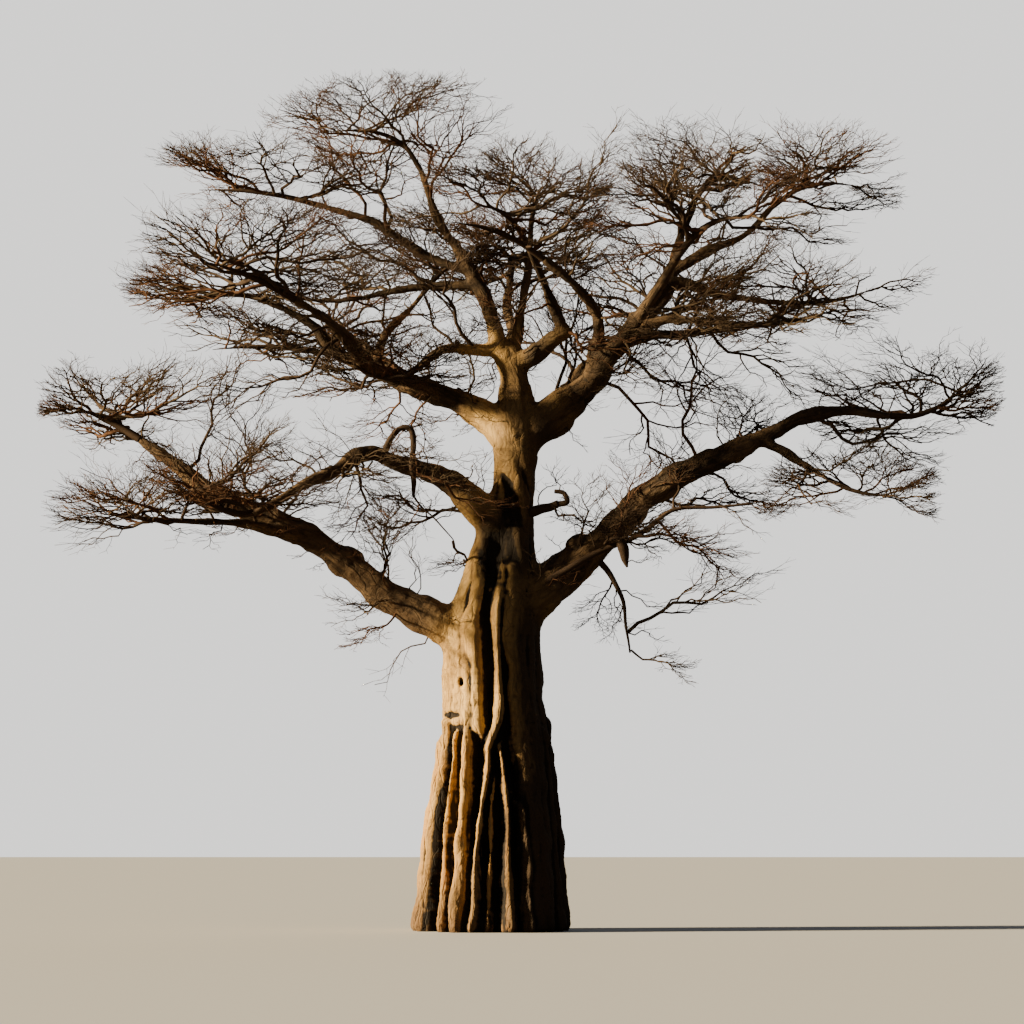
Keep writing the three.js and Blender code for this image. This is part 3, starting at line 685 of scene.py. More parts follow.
class Crown:
    """Grows the shoots of every mass, level by level, by the seeded rule."""

    child_radius = (0.66, 0.64, 0.55, 0.5)
    thinnest = (0.01, 0.01, 0.009, 0.0065, 0.005)
    fan_rise = (-16.0, 40.0)
    fan_jitter = 36.0
    lean = (26.0, 54.0)
    roll = 34.0
    wobble = 0.14
    lift = 0.12
    stem_reach = 0.55
    stem_bend = 0.5
    march = 0.08
    shortest = 0.05
    side_last = 0.99
    side_slope = (0.2, 1.1)
    side_sag = (-0.5, 0.7)
    side_foot = 0.7
    side_start = (1.2, 0.06)
    side_power = 1.5
    side_gnarl = 1.5

    def __init__(self, framework: Framework) -> None:
        """Keeps the framework whose room the shoots grow in."""
        self.room = framework
        shares = [OPEN_SHARE if limb.plan.name in OPEN_MASSES else 1.0
                  for limb in framework.bearing]
        self.fullness = np.array(shares + [1.0])

    def stems(self) -> Shoots:
        """The stem of each mass, from its limb's tip towards the far edge of its space."""
        steps, taper = SHOOT_RULES[0].steps, SHOOT_RULES[0].taper
        paths, radii, seeds, lengths = [], [], [], []
        for limb in self.room.bearing:
            tip, along, radius = limb.at_share(1)
            start = tip + along * LimbRule.joint_gap
            outward = direction(math.degrees(math.atan2(along[1], along[0])), 0.0)
            end = limb.centre + outward * limb.half[0] * self.stem_reach
            bend = start + along * np.linalg.norm(end - start) * self.stem_bend
            t = np.linspace(0, 1, steps + 1)[:, None]
            paths.append((1 - t) ** 2 * start + 2 * t * (1 - t) * bend + t ** 2 * end)
            radii.append((radius, radius * taper))
            lengths.append(np.linalg.norm(np.diff(paths[-1], axis=0), axis=1).sum())
            seeds.append(limb.seed)
        coarse = np.array(paths)
        ends = np.full(len(coarse), steps)
        own = child_seed(np.array(seeds, np.uint32), STEM_SEED)
        fine = flowing(coarse, ends, SHOOT_RULES[0].joints)
        count = np.arange(len(coarse))
        return Shoots(0, coarse, ends, np.array(radii), fine, own, np.array(lengths), count, count)

    def is_free(self, start: Array, end: Array, home: Array, level: int) -> Array:
        """Tells which stretches are free for a shoot, by testing shares of their length."""
        free = np.ones(len(start), bool)
        for share in SHOOT_RULES[level].tests:
            rows = np.flatnonzero(free)
            points = mix(start[rows], end[rows], share)
            free[rows] = self.room.keeps_to_space(points, home[rows], level)
            rows = rows[free[rows]]
            free[rows] = self.room.clear_of_limbs(mix(start[rows], end[rows], share))
        return free

    def aim(self, level: int, k: int, along: Array, dice: Dice) -> Array:
        """The direction of the numbered child of each shoot.

        Args:
            level: The parent's level.
            k: The child's number.
            along: The parents' directions at the child's foot.
            dice: A stream for each child.

        Returns:
            Unit vectors.
        """
        if level == 0:
            ahead = np.degrees(np.arctan2(along[:, 1], along[:, 0]))
            heading = ahead + GOLDEN_TURN * k + self.fan_jitter * (dice.roll() - 0.5)
            return direction(heading, mix(*self.fan_rise, dice.roll()))
        left = unit(np.cross(UP, along))
        above = np.cross(along, left)
        lean = np.radians(mix(*self.lean, dice.roll()))[:, None]
        roll = np.radians(self.roll * (2 * dice.roll() - 1))[:, None]
        hand = 1 if k % 2 == 0 else -1
        return (along * np.cos(lean) + left * hand * np.sin(lean) * np.cos(roll)
                + above * np.sin(lean) * np.sin(roll))

    def children(self, parents: Shoots) -> Shoots:
        """Grows the next level of shoots from a level.

        Args:
            parents: The shoots that they leave.

        Returns:
            The new shoots, without those that found no room.
        """
        rule, level = SHOOT_RULES[parents.level], parents.level + 1
        batches = [self.brood(parents, k, rule) for k in range(rule.children)]
        joined = [np.concatenate(column) for column in zip(*batches)]
        coarse, ends, radii, seeds, lengths, home, spray = joined
        order = np.argsort(home, kind="stable")
        coarse, ends, radii, seeds = coarse[order], ends[order], radii[order], seeds[order]
        fine = flowing(coarse, ends, SHOOT_RULES[level].joints)
        fine = gnarled(fine, seeds, SHOOT_RULES[level].gnarl)
        return Shoots(level, coarse, ends, radii, fine, seeds,
                      lengths[order], home[order], spray[order])

    def brood(self, parents: Shoots, k: int, rule: ShootRule) -> tuple[Array, ...]:
        """Grows the numbered child of every shoot, as the columns of a batch."""
        level = parents.level + 1
        own = SHOOT_RULES[level]
        seeds = child_seed(parents.seeds, k)
        dice = Dice(child_seed(seeds, AIM_SEED))
        step = np.mod(GOLDEN_SHARE * (k + 1) + (parents.seeds % PHASES) / PHASES, 1)
        share = mix(rule.first_child, rule.last_child, step)
        foot, along = parents.point(share), parents.along(share)
        aim = self.aim(parents.level, k, along, dice)
        wanted = parents.lengths * mix(*rule.child_share, share)
        if parents.level == 0:
            wanted = np.full(len(foot), LONGEST_BRANCHLET)
        free = np.zeros(len(foot))
        rows = np.arange(len(foot))
        while len(rows):
            ahead = foot[rows] + aim[rows] * (free[rows] + self.march)[:, None]
            rows = rows[self.room.keeps_to_space(ahead, parents.home[rows], level)]
            free[rows] += self.march
            rows = rows[free[rows] < wanted[rows]]
        length = np.minimum(wanted, free * own.reach)
        radius = parents.girth(share) * self.child_radius[parents.level]
        radius = np.maximum(self.thinnest[level], radius)
        coarse, ends = self.walk(foot, aim, length, seeds, parents.home, level)
        spray = parents.spray if parents.level else (seeds % SPRAYS).astype(int)
        keep = (ends > 0) & (length > self.shortest)
        if level > 1:
            keep &= Dice(child_seed(seeds, OPEN_SEED)).roll() < self.fullness[parents.home]
        radii = np.stack([radius, radius * own.taper], axis=1)
        columns = (coarse, ends, radii, seeds, length, parents.home, spray)
        return tuple(column[keep] for column in columns)

    def walk(self, foot: Array, aim: Array, length: Array, seeds: Array,
             home: Array, level: int) -> tuple[Array, Array]:
        """Walks each shoot's path in even steps, until it would leave its space or touch wood.

        Args:
            foot: Where each shoot starts.
            aim: The direction that each starts in.
            length: Its length.
            seeds: Its seed.
            home: Its mass.
            level: The shoots' level.

        Returns:
            The paths, and the number of each path's last point.
        """
        rule, dice = SHOOT_RULES[level], Dice(seeds)
        along, step = aim.copy(), (length / rule.steps)[:, None]
        coarse = np.repeat(foot[:, None], rule.steps + 1, axis=1)
        ends = np.zeros(len(foot), int)
        alive = length > 0
        for i in range(rule.steps):
            wobble = np.stack([dice.roll() - 0.5 for _ in range(3)], axis=1)
            along = unit(along + wobble * 2 * self.wobble + UP * self.lift / rule.steps)
            here = coarse[:, i]
            found = np.zeros(len(foot), bool)
            for way in (along, aim):
                rows = np.flatnonzero(alive & ~found)
                there = here[rows] + way[rows] * step[rows]
                free = self.is_free(here[rows], there, home[rows], level)
                coarse[rows[free], i + 1] = there[free]
                found[rows[free]] = True
            alive &= found
            ends[alive] = i + 1
            coarse[~alive, i + 1:] = coarse[~alive, i][:, None]
        return coarse, ends

    def side_shoots(self, level: int) -> Shoots:
        """Shoots that stand along the boughs, outside the masses.

        Args:
            level: The level that they grow as.

        Returns:
            Shoots with no space of their own.
        """
        rule, side_rule = SHOOT_RULES[level], SIDE_RULES[level]
        feet, starts, aims, seeds = [], [], [], []
        for limb in [*self.room.limbs.values(), *self.room.loose.values()]:
            count = int(limb.plan.length * side_rule.density)
            own = child_seed(np.full(count, limb.seed, np.uint32), SIDE_SEED + level)
            own = child_seed(own + np.arange(count, dtype=np.uint32) * SIDE_STEP, SIDE_INDEX)
            dice = Dice(own)
            share = mix(side_rule.first, self.side_last, dice.roll())
            turn, slope = 2 * np.pi * dice.roll(), mix(*self.side_slope, dice.roll())
            sag = mix(*self.side_sag, dice.roll())
            for k in range(count):
                point, along, radius = limb.at_share(float(share[k]))
                side, other = sideways(along)
                radial = np.cos(turn[k]) * side + np.sin(turn[k]) * other
                aims.append(unit(radial + along * slope[k] + UP * sag[k]))
                feet.append(point + radial * radius * self.side_foot)
                starts.append(point + radial * (radius * self.side_start[0] + self.side_start[1]))
                seeds.append(own[k])
        seeds = np.array(seeds, np.uint32)
        home = np.full(len(seeds), -1)
        size = Dice(child_seed(seeds, SIZE_SEED)).roll() ** self.side_power
        length = mix(*side_rule.reach, size)
        coarse, ends = self.walk(np.array(starts), np.array(aims), length, seeds, home, level)
        coarse[:, 0] = feet
        fine = gnarled(flowing(coarse, ends, rule.joints), seeds, rule.gnarl * self.side_gnarl)
        foot = mix(*side_rule.girth, size)
        radii = np.stack([foot, foot * rule.taper], axis=1)
        made = (coarse, ends, radii, fine, seeds, length, home, (seeds % SPRAYS).astype(int))
        return Shoots(level, *(column[ends > 0] for column in made))

    def grow(self) -> list[Shoots]:
        """All the levels, from the stems to the finest tips."""
        levels = [self.stems()]
        while SHOOT_RULES[levels[-1].level].children:
            level = self.children(levels[-1])
            if level.level in SIDE_RULES:
                level = self.joined(self.side_shoots(level.level), level)
            log.info("level %d: %d shoots", level.level, len(level.seeds))
            levels.append(level)
        return levels

    @staticmethod
    def joined(a: Shoots, b: Shoots) -> Shoots:
        """Two batches of one level as one."""
        pairs = ((getattr(a, part.name), getattr(b, part.name)) for part in fields(Shoots)[1:])
        return Shoots(a.level, *(np.concatenate(pair) for pair in pairs))


def neighbour_mean(values: Array, edges: Array) -> Array:
    """The mean of each vertex's neighbours.

    Args:
        values: A row for each vertex.
        edges: Pairs of vertex numbers.

    Returns:
        A row for each vertex.
    """
    count = len(values)
    a, b = edges[:, 0], edges[:, 1]
    degree = np.bincount(a, minlength=count) + np.bincount(b, minlength=count)
    mean = np.empty_like(values)
    for axis in range(values.shape[1]):
        total = np.bincount(a, values[b, axis], count) + np.bincount(b, values[a, axis], count)
        mean[:, axis] = total / np.maximum(degree, 1)
    return mean


def evened(values: Array, edges: Array, rounds: int, share: float = 1.0) -> Array:
    """Moves each vertex's values a share of the way to its neighbours' mean, round by round."""
    for _ in range(rounds):
        values = mix(values, neighbour_mean(values, edges), share)
    return values


def read_vectors(data: bpy.types.bpy_prop_collection, name: str, size: int = 3) -> Array:
    """Reads a field of every item into rows: three real numbers, or fewer whole ones."""
    flat = np.empty(len(data) * size, dtype=np.float32 if size == 3 else np.int32)
    data.foreach_get(name, flat)
    return flat.reshape(-1, size)


def store(mesh: Mesh, name: str, values: Array, domain: str = "POINT") -> None:
    """Stores a number or a row of three for each point, corner or face of a mesh."""
    if values.ndim > 1:
        kind, field = "FLOAT_VECTOR", "vector"
    else:
        kind, field = ("INT" if values.dtype.kind == "i" else "FLOAT"), "value"
    mesh.attributes.new(name, kind, domain).data.foreach_set(field, values.ravel())


def plain_mesh(name: str, points: Array, faces: list | Array) -> Mesh:
    """Makes a mesh from points and faces."""
    mesh = bpy.data.meshes.new(name)
    mesh.from_pydata(points.tolist(), [], [list(face) for face in faces])
    return mesh


def placed(name: str, data: bpy.types.ID) -> Object:
    """Puts a mesh, a light or a camera in the scene as an object at the origin."""
    piece = bpy.data.objects.new(name, data)
    bpy.context.scene.collection.objects.link(piece)
    return piece


def settled(piece: Object, name: str) -> Mesh:
    """The piece's mesh with its modifiers applied; the piece itself is removed."""
    graph = bpy.context.evaluated_depsgraph_get()
    mesh = bpy.data.meshes.new_from_object(piece.evaluated_get(graph))
    mesh.name = name
    bpy.data.objects.remove(piece)
    return mesh


def shaped(piece: Object, name: str, tree: NodeTree, inputs: dict[str, object]) -> Mesh:
    """The piece's mesh as a node tree shapes it, given values for the tree's named inputs."""
    modifier = piece.modifiers.new(tree.name, "NODES")
    modifier.node_group = tree
    for item in tree.interface.items_tree:
        if item.item_type == "SOCKET" and item.in_out == "INPUT" and item.name in inputs:
            modifier[item.identifier] = inputs[item.name]
    return settled(piece, name)


@dataclass(frozen=True)
class Grain:
    """A noise: its stretch across, across and along the wood, and its own settings."""

    stretch: Triple
    scale: float
    detail: float
    roughness: float
    distortion: float = 0.0


class Graph:
    """A node tree being built: adds nodes, sets their inputs and joins them."""

    def __init__(self, tree: NodeTree) -> None:
        """Starts on a tree."""
        self.tree = tree

    @classmethod
    def group(cls, name: str, kind: str, inputs: dict[str, str], outputs: dict[str, str]) -> Graph:
        """Starts on a new node group, with named inputs and outputs of the given kinds."""
        graph = cls(bpy.data.node_groups.new(name, kind + "NodeTree"))
        for side, sockets in (("INPUT", inputs), ("OUTPUT", outputs)):
            for key, value in sockets.items():
                graph.tree.interface.new_socket(key, in_out=side, socket_type="NodeSocket" + value)
        return graph

    def feed(self, node: Node, inputs: dict) -> None:
        """Gives a node values or sockets for its inputs, by name or number."""
        for key, value in inputs.items():
            if isinstance(value, NodeSocket):
                self.tree.links.new(value, node.inputs[key])
            else:
                node.inputs[key].default_value = value

    def add(self, kind: str, inputs: dict | None = None, **settings: object) -> Node:
        """Adds a node.

        Args:
            kind: The node's type.
            inputs: Values or sockets for its inputs, by name or number.
            settings: The node's own settings.

        Returns:
            The node.
        """
        node = self.tree.nodes.new(kind)
        for key, value in settings.items():
            setattr(node, key, value)
        self.feed(node, inputs or {})
        return node

    def math(self, operation: str, a: object, b: object = 0.0, c: object = 0.0,
             clamp: bool = False) -> NodeSocket:
        """Adds a math node and returns its result."""
        inputs = {0: a, 1: b, 2: c}
        node = self.add("ShaderNodeMath", inputs, operation=operation, use_clamp=clamp)
        return node.outputs[0]

    def line(self, value: object, gain: object, offset: object) -> NodeSocket:
        """A value times a gain, moved by an offset."""
        return self.math("MULTIPLY_ADD", value, gain, offset)

    def slope(self, value: object, slope: Pair) -> NodeSocket:
        """A mask from a value, by a slope's gain and offset, kept between 0 and 1."""
        return self.math("MULTIPLY_ADD", value, *slope, clamp=True)

    def vector(self, operation: str, a: object, b: object) -> NodeSocket:
        """Adds a vector math node and returns its result."""
        return self.add("ShaderNodeVectorMath", {0: a, 1: b}, operation=operation).outputs[0]

    def noise(self, place: object, grain: Grain) -> NodeSocket:
        """Adds a noise at a place on the wood and returns its value."""
        vector = self.vector("MULTIPLY", place, grain.stretch)
        inputs = {"Vector": vector, "Scale": grain.scale, "Detail": grain.detail,
                  "Roughness": grain.roughness, "Distortion": grain.distortion}
        return self.add("ShaderNodeTexNoise", inputs).outputs[0]

    def swing(self, place: object, grain: Grain) -> NodeSocket:
        """A noise that swings between about -1 and 1."""
        return self.line(self.noise(place, grain), 2.0, -1.0)

    def crease(self, place: object, grain: Grain, gain: float, rest: float) -> NodeSocket:
        """A noise's creases, as steep as the gain, cut from flats that stand 1 less the rest."""
        swing = self.math("ABSOLUTE", self.swing(place, grain))
        return self.math("SUBTRACT", self.math("MULTIPLY", swing, gain, clamp=True), rest)

    def named(self, name: str, kind: str = "FLOAT") -> NodeSocket:
        """The value of a named attribute, in a tree that shapes a mesh."""
        inputs = {"Name": name}
        return self.add("GeometryNodeInputNamedAttribute", inputs, data_type=kind).outputs[0]

    def attribute(self, name: str, output: str) -> NodeSocket:
        """The value of a named attribute, in a material."""
        return self.add("ShaderNodeAttribute", attribute_name=name).outputs[output]

    def ramp(self, value: NodeSocket, stops: tuple[float, ...], tones: list[Triple]) -> NodeSocket:
        """Colours a value by a ramp, on which each tone has its stop."""
        node = self.add("ShaderNodeValToRGB", {0: value})
        elements = node.color_ramp.elements
        while len(elements) < len(stops):
            elements.new(0.5)
        for element, place, tone in zip(elements, stops, tones):
            element.position, element.color = place, (*tone, 1)
        return node.outputs[0]

    def blend(self, share: object, a: object, b: object) -> NodeSocket:
        """Blends two colours by the second one's share."""
        pair = [(*c, 1) if isinstance(c, tuple) else c for c in (a, b)]
        node = self.add("ShaderNodeMix", {0: share, 6: pair[0], 7: pair[1]}, data_type="RGBA")
        return node.outputs[2]

    def cover(self, colour: object, tone: Triple, mask: object, most: object) -> NodeSocket:
        """Covers a colour with a tone where a mask says, up to the most of it that may go."""
        return self.blend(self.math("MULTIPLY", mask, most), colour, tone)


@dataclass(frozen=True)
class BarkRelief:
    """The bark's folds, lumps and wrinkles, made by moving the skin in and out."""

    sizes: tuple[tuple[str, float], ...] = (
        ("Lump", 1.0), ("Fold", 0.022), ("Ridge", 0.012), ("Wrinkle", 0.009))
    lumps: Grain = Grain((1, 1, 1), 1.5, 2.0, 0.45)
    folds: Grain = Grain((1, 1, 0.16), 2.6, 2.0, 0.5, 0.4)
    fold_crease: Pair = (4.0, 0.7)
    ridges: Grain = Grain((1, 1, 0.1), 7.5, 3.0, 0.6, 0.6)
    wrinkles: Grain = Grain((0.5, 0.5, 4.2), 1.6, 2.0, 0.55, 0.7)
    wrinkle_crease: Pair = (5.0, 0.8)

    def height_group(self) -> NodeTree:
        """The height of the relief at a place on the bark, for a bough 1 m thick."""
        sizes = dict.fromkeys(dict(self.sizes), "Float")
        graph = Graph.group("bark_height", "Geometry", {"Place": "Vector", **sizes},
                            {"Height": "Float"})
        given = graph.add("NodeGroupInput").outputs
        place = given["Place"]
        fold = graph.crease(place, self.folds, *self.fold_crease)
        wrinkle = graph.crease(place, self.wrinkles, *self.wrinkle_crease)
        total = graph.math("MULTIPLY", graph.swing(place, self.ridges), given["Ridge"])
        for value, size in ((fold, "Fold"), (wrinkle, "Wrinkle")):
            total = graph.line(value, given[size], total)
        total = graph.math("MULTIPLY", total, graph.named("girth"))
        lump = graph.math("MULTIPLY", graph.swing(place, self.lumps), given["Lump"])
        total = graph.line(lump, graph.named("lumps"), total)
        graph.add("NodeGroupOutput", {"Height": total})
        return graph.tree

    def tree(self) -> NodeTree:
        """The node tree that moves the skin, with an input for each kind of relief."""
        sizes = dict.fromkeys(dict(self.sizes), "Float")
        inputs = {"Geometry": "Geometry", **sizes, "Bark": "Material"}
        graph = Graph.group("bark_relief", "Geometry", inputs, {"Geometry": "Geometry"})
        given = graph.add("NodeGroupInput").outputs
        group = self.height_group()
        inputs = {size: given[size] for size in sizes}
        own, near = (graph.add("GeometryNodeGroup",
                               {**inputs, "Place": graph.named(name, "FLOAT_VECTOR")},
                               node_tree=group).outputs[0]
                     for name in ("own_place", "next_place"))
        apart = graph.math("SUBTRACT", near, own)
        height = graph.line(apart, graph.named("weld"), own)
        inputs = {0: graph.add("GeometryNodeInputNormal").outputs[0], "Scale": height}
        moved = graph.add("ShaderNodeVectorMath", inputs, operation="SCALE").outputs[0]
        inputs = {"Geometry": given["Geometry"], "Offset": moved}
        shifted = graph.add("GeometryNodeSetPosition", inputs).outputs[0]
        whole = graph.add("GeometryNodeRealizeInstances", {0: shifted}).outputs[0]
        inputs = {"Geometry": whole, "Material": given["Bark"]}
        dressed = graph.add("GeometryNodeSetMaterial", inputs).outputs[0]
        graph.add("NodeGroupOutput", {"Geometry": dressed})
        return graph.tree


@dataclass(frozen=True)
class Rib:
    """One rib or fold of the trunk: rows of height, heading and half width, from its top down."""

    rows: tuple[Triple, ...]
    crown: float = 1.0
    blunt: float = 2.2
    lip: float = 0.0


@dataclass(frozen=True)
class Scar:
    """A hollow in the trunk: its heading and height, half width and half height, and depth."""

    heading: float
    height: float
    width: float
    tall: float
    depth: float


@dataclass(frozen=True)
class Wave:
    """A wave up the trunk: its size, how fast it swings with height, and its share of a turn."""

    size: float
    rate: float
    share: float

    def at(self, height: Array, turn: float) -> Array:
        """The wave at each height, begun at a turn that each rib has of its own."""
        return self.size * np.sin(self.rate * height + self.share * turn)


@dataclass(frozen=True)
class BackRule:
    """How the ribs of the back are dealt out: the limits of each value that is rolled."""

    first: float = 12.0
    step: float = 16.6
    count: int = 10
    stray: float = 0.5
    top: Pair = (3.0, 5.4)
    half: Pair = (5.5, 10.0)
    knee: Triple = (2.0, 4.0, 0.5)
    foot: Triple = (-0.2, 5.0, 1.5)
    crown: Pair = (0.94, 1.06)
    blunt: float = 1.7
    lip: float = 0.1

    def ribs(self) -> tuple[Rib, ...]:
        """The folds round the sides and back, dealt out by a seeded rule."""
        made = []
        dice = Dice(own_seed(BACK_SEED))
        for number in range(self.count):
            rolls = [float(dice.roll()[0]) for _ in range(5)]
            heading = self.first + (number + self.stray * rolls[0]) * self.step
            half = mix(*self.half, rolls[2])
            rows = [(mix(*self.top, rolls[1]), heading, half)]
            for (height, stray, wider), roll in ((self.knee, rolls[3]), (self.foot, rolls[4])):
                rows.append((height, heading + mix(-stray, stray, roll), half + wider))
            crown = mix(*self.crown, rolls[3])
            made.append(Rib(tuple(rows), crown, self.blunt, self.lip * rolls[4]))
        return tuple(made)


@dataclass(frozen=True)
class BarkForm:
    """The trunk as its bark shows it: ribs that stand on a core, folds below, and hollows."""

    ribs: tuple[Rib, ...] = (
        Rib(((9.0, 166, 28), (7.2, 188, 33), (5.5, 204, 41), (4.1, 207, 40)), 1.0, 3.4),
        Rib(((9.4, 196, 18), (8.2, 208, 18), (7.2, 234, 15), (5.5, 249, 10.5), (3.9, 251, 10)),
            1.02, 2.2),
        Rib(((7.8, 272, 7), (7.2, 275, 8), (5.4, 278, 6.5), (4.84, 277, 7), (4.3, 274, 7),
             (4, 268, 7.5), (3.5, 262, 6)), 1.04, 1.6),
        Rib(((3.9, 263, 5), (2.9, 261.7, 5), (1.7, 257.6, 5.5), (-0.2, 254.8, 8)), 0.94, 1.6),
        Rib(((10, 302, 34), (8.2, 303, 32), (7.2, 308, 28), (5.5, 315, 27), (4, 316, 25),
             (2.6, 316, 20), (-0.2, 317, 18)), 1.0, 3.0),
        Rib(((10, 6, 30), (3.6, 2, 29)), 1.0, 3.0),
        Rib(((10, 60, 31), (4.6, 58, 30)), 1.0, 3.0),
        Rib(((10, 112, 26), (3.1, 110, 24)), 1.0, 3.0),
        Rib(((9.4, 144, 20), (4.3, 148, 19)), 1.0, 3.0),
        Rib(((4.2, 187, 8), (2.5, 186, 9), (-0.2, 183, 10)), 1.02, 1.7, 0.05),
        Rib(((4.65, 204, 9), (3.5, 206, 8), (1.5, 203, 8), (-0.2, 201, 8)), 1.03, 1.6, 0.09),
        Rib(((4.2, 221, 4.5), (3.5, 223.5, 4.5), (1.5, 227.5, 5), (-0.2, 228, 6.5)),
            0.95, 1.6, 0.04),
        Rib(((5.3, 237, 8), (4.4, 239, 7), (3.5, 240.5, 6.5), (1.5, 242.5, 7), (-0.2, 243, 8)),
            1.05, 2.4),
        Rib(((3.3, 271, 3), (1.2, 268, 4), (-0.2, 267, 6)), 0.6, 1.6),
        Rib(((3.9, 275, 4), (3.2, 280, 4.5), (2.1, 285, 5), (-0.2, 286, 8)), 0.92, 1.8),
        Rib(((2.7, 298, 6), (1.2, 301, 7), (-0.2, 301, 8)), 1.1, 1.6),
        Rib(((4.35, 338, 8), (2, 339, 9), (-0.2, 339, 10)), 1.02, 1.6, 0.08),
        Rib(((4.6, 357, 8), (2, 358, 9), (-0.2, 360, 11)), 1.1, 1.6, 0.05),
    )
    scars: tuple[Scar, ...] = (
        Scar(262, 8.3, 0.46, 1.15, 0.2),
        Scar(231, 5.13, 0.055, 0.075, 0.16),
        Scar(214, 4.45, 0.34, 0.07, 0.09),
        Scar(222, 6.75, 0.2, 0.14, 0.05),
        Scar(318, 5.9, 0.05, 0.9, 0.05),
    )
    back: BackRule = BackRule()
    rib_turn: float = 2.4
    sway: tuple[Wave, ...] = (Wave(0.7, 1.9, 1), Wave(0.45, 4.3, -1))
    swell: tuple[Wave, ...] = (Wave(0.1, 2.7, 1.7), Wave(0.06, 6.1, 1))
    lumps: tuple[Wave, ...] = (Wave(0.035, 5.3, 3), Wave(0.025, 9.7, -1))
    top_round: float = 0.35
    foot_fade: Pair = (0.5, 0.3)
    lip_drop: float = 0.32
    lip_height: float = 0.24
    lip_gain: float = 3.5
    scar_ragged: Triple = (0.25, 5.0, 7.0)
    scar_edge: Pair = (1.6, 1.3)
    scar_gain: Triple = (8.0, 0.0, 0.85)
    upper_depth: float = 0.24
    lower_depth: float = 0.27
    waist: float = 4.3
    waist_fade: float = 0.8
    head: float = 10.2
    head_fade: float = 1.6
    flute_drift: Pair = (2.0, 0.9)
    flute_beat: Triple = (0.6, 0.4, 1.3)
    flute_shares: Pair = (0.5, 1.2)
    flutes: tuple[tuple[int, float, float], ...] = (
        (17, 0.013, 0.8), (29, 0.012, -1.3), (43, 0.01, 2.1), (67, 0.007, -2.7))

    def stand(self, height: Array, heading: Array) -> Array:
        """How far the ribs stand out of the core, from 0 in a gap to about 1 on a crown.

        Args:
            height: Heights in metres.
            heading: Headings in degrees.

        Returns:
            The stand at each height and heading.
        """
        result = np.zeros(np.broadcast(height, heading).shape)
        for number, rib in enumerate(self.ribs + self.back.ribs()):
            rows = np.array(rib.rows)[::-1]
            middle = np.interp(height, rows[:, 0], rows[:, 1])
            half = np.interp(height, rows[:, 0], rows[:, 2])
            sway, swell, lumps = (sum(wave.at(height, self.rib_turn * number) for wave in waves)
                                  for waves in (self.sway, self.swell, self.lumps))
            middle, half = middle + sway, half * (1 + swell)
            across = np.abs((heading - middle + 180) % 360 - 180) / half
            bulge = np.clip(1 - across ** rib.blunt, 0, 1) ** (1 / rib.blunt)
            top, foot = rib.rows[0][0], rib.rows[-1][0]
            above = np.clip((top - height) / self.top_round, 0, 1)
            below = smooth((height - foot) / self.foot_fade[0] + self.foot_fade[1])
            end = np.sqrt(1 - (1 - above) ** 2) * below
            lip = rib.lip * np.exp(-((top - self.lip_drop - height) / self.lip_height) ** 2)
            crown = rib.crown * (1 + lumps) + self.lip_gain * lip
            np.maximum(result, crown * bulge * end, out=result)
        return result

    def hollows(self, height: Array, heading: Array, girth: Array) -> Array:
        """How deep the trunk is hollowed at each height and heading, in metres."""
        result = np.zeros(np.broadcast(height, heading).shape)
        size, turns, rate = self.scar_ragged
        start, fall = self.scar_edge
        for scar in self.scars:
            across = np.radians((heading - scar.heading + 180) % 360 - 180) * girth
            ragged = 1 + size * np.sin(turns * np.radians(heading) + rate * height)
            far = np.hypot(across / scar.width, (height - scar.height) / scar.tall) * ragged
            result = np.maximum(result, scar.depth * smooth(start - fall * far))
        return result

    def sunk(self, height: Array, heading: Array, girth: Array) -> Array:
        """How deep the bark lies below its ribs' crowns or in a hollow, from 0 to about 1."""
        gap = np.clip(1 - self.stand(height, heading), 0, 1) * self.fade(height)
        return np.maximum(gap, held(self.hollows(height, heading, girth), self.scar_gain))

    def fade(self, height: Array) -> Array:
        """1 where the trunk is ribbed, falling to 0 near its head."""
        return smooth((self.head - height) / self.head_fade)

    def radius(self, girth: Array, height: Array, heading: Array) -> Array:
        """The bark's radius at each height and heading.

        Args:
            girth: The trunk's radius over its ribs.
            height: Heights in metres.
            heading: Headings in degrees.

        Returns:
            Radii in metres.
        """
        low = smooth((self.waist - height) / self.waist_fade + 0.5)
        depth = mix(self.upper_depth, self.lower_depth, low)
        cut = depth * self.fade(height) * (1 - self.stand(height, heading))
        fine = np.zeros(np.broadcast(height, heading).shape)
        sway, rate = self.flute_drift
        steady, beat, beat_rate = self.flute_beat
        for waves, size, drift in self.flutes:
            turn = np.radians(heading) * waves + drift * height
            turn = turn + sway * np.sin(rate * height + waves)
            depth_of_one = size * (steady + beat * np.sin(beat_rate * height + drift))
            fine += np.abs(np.sin(turn / 2)) * depth_of_one
        fine = fine * mix(*self.flute_shares, low)
        return girth * (1 - cut) - self.hollows(height, heading, girth) - fine


@dataclass(frozen=True)
class Knob:
    """A lump on a limb: its place, half sizes, and how far out it stands."""

    limb: str
    share: float
    heading: float
    rise: float
    size: Triple
    out: float


KNOBS = (
    Knob("low_right_bough", 0.34, 230, 60, (0.26, 0.17, 0.19), 1.0),
    Knob("low_left_bough", 0.3, 80, 60, (0.2, 0.12, 0.12), 0.8),
    Knob("middle_left_bough", 0.5, 60, 70, (0.2, 0.12, 0.12), 0.8),
)


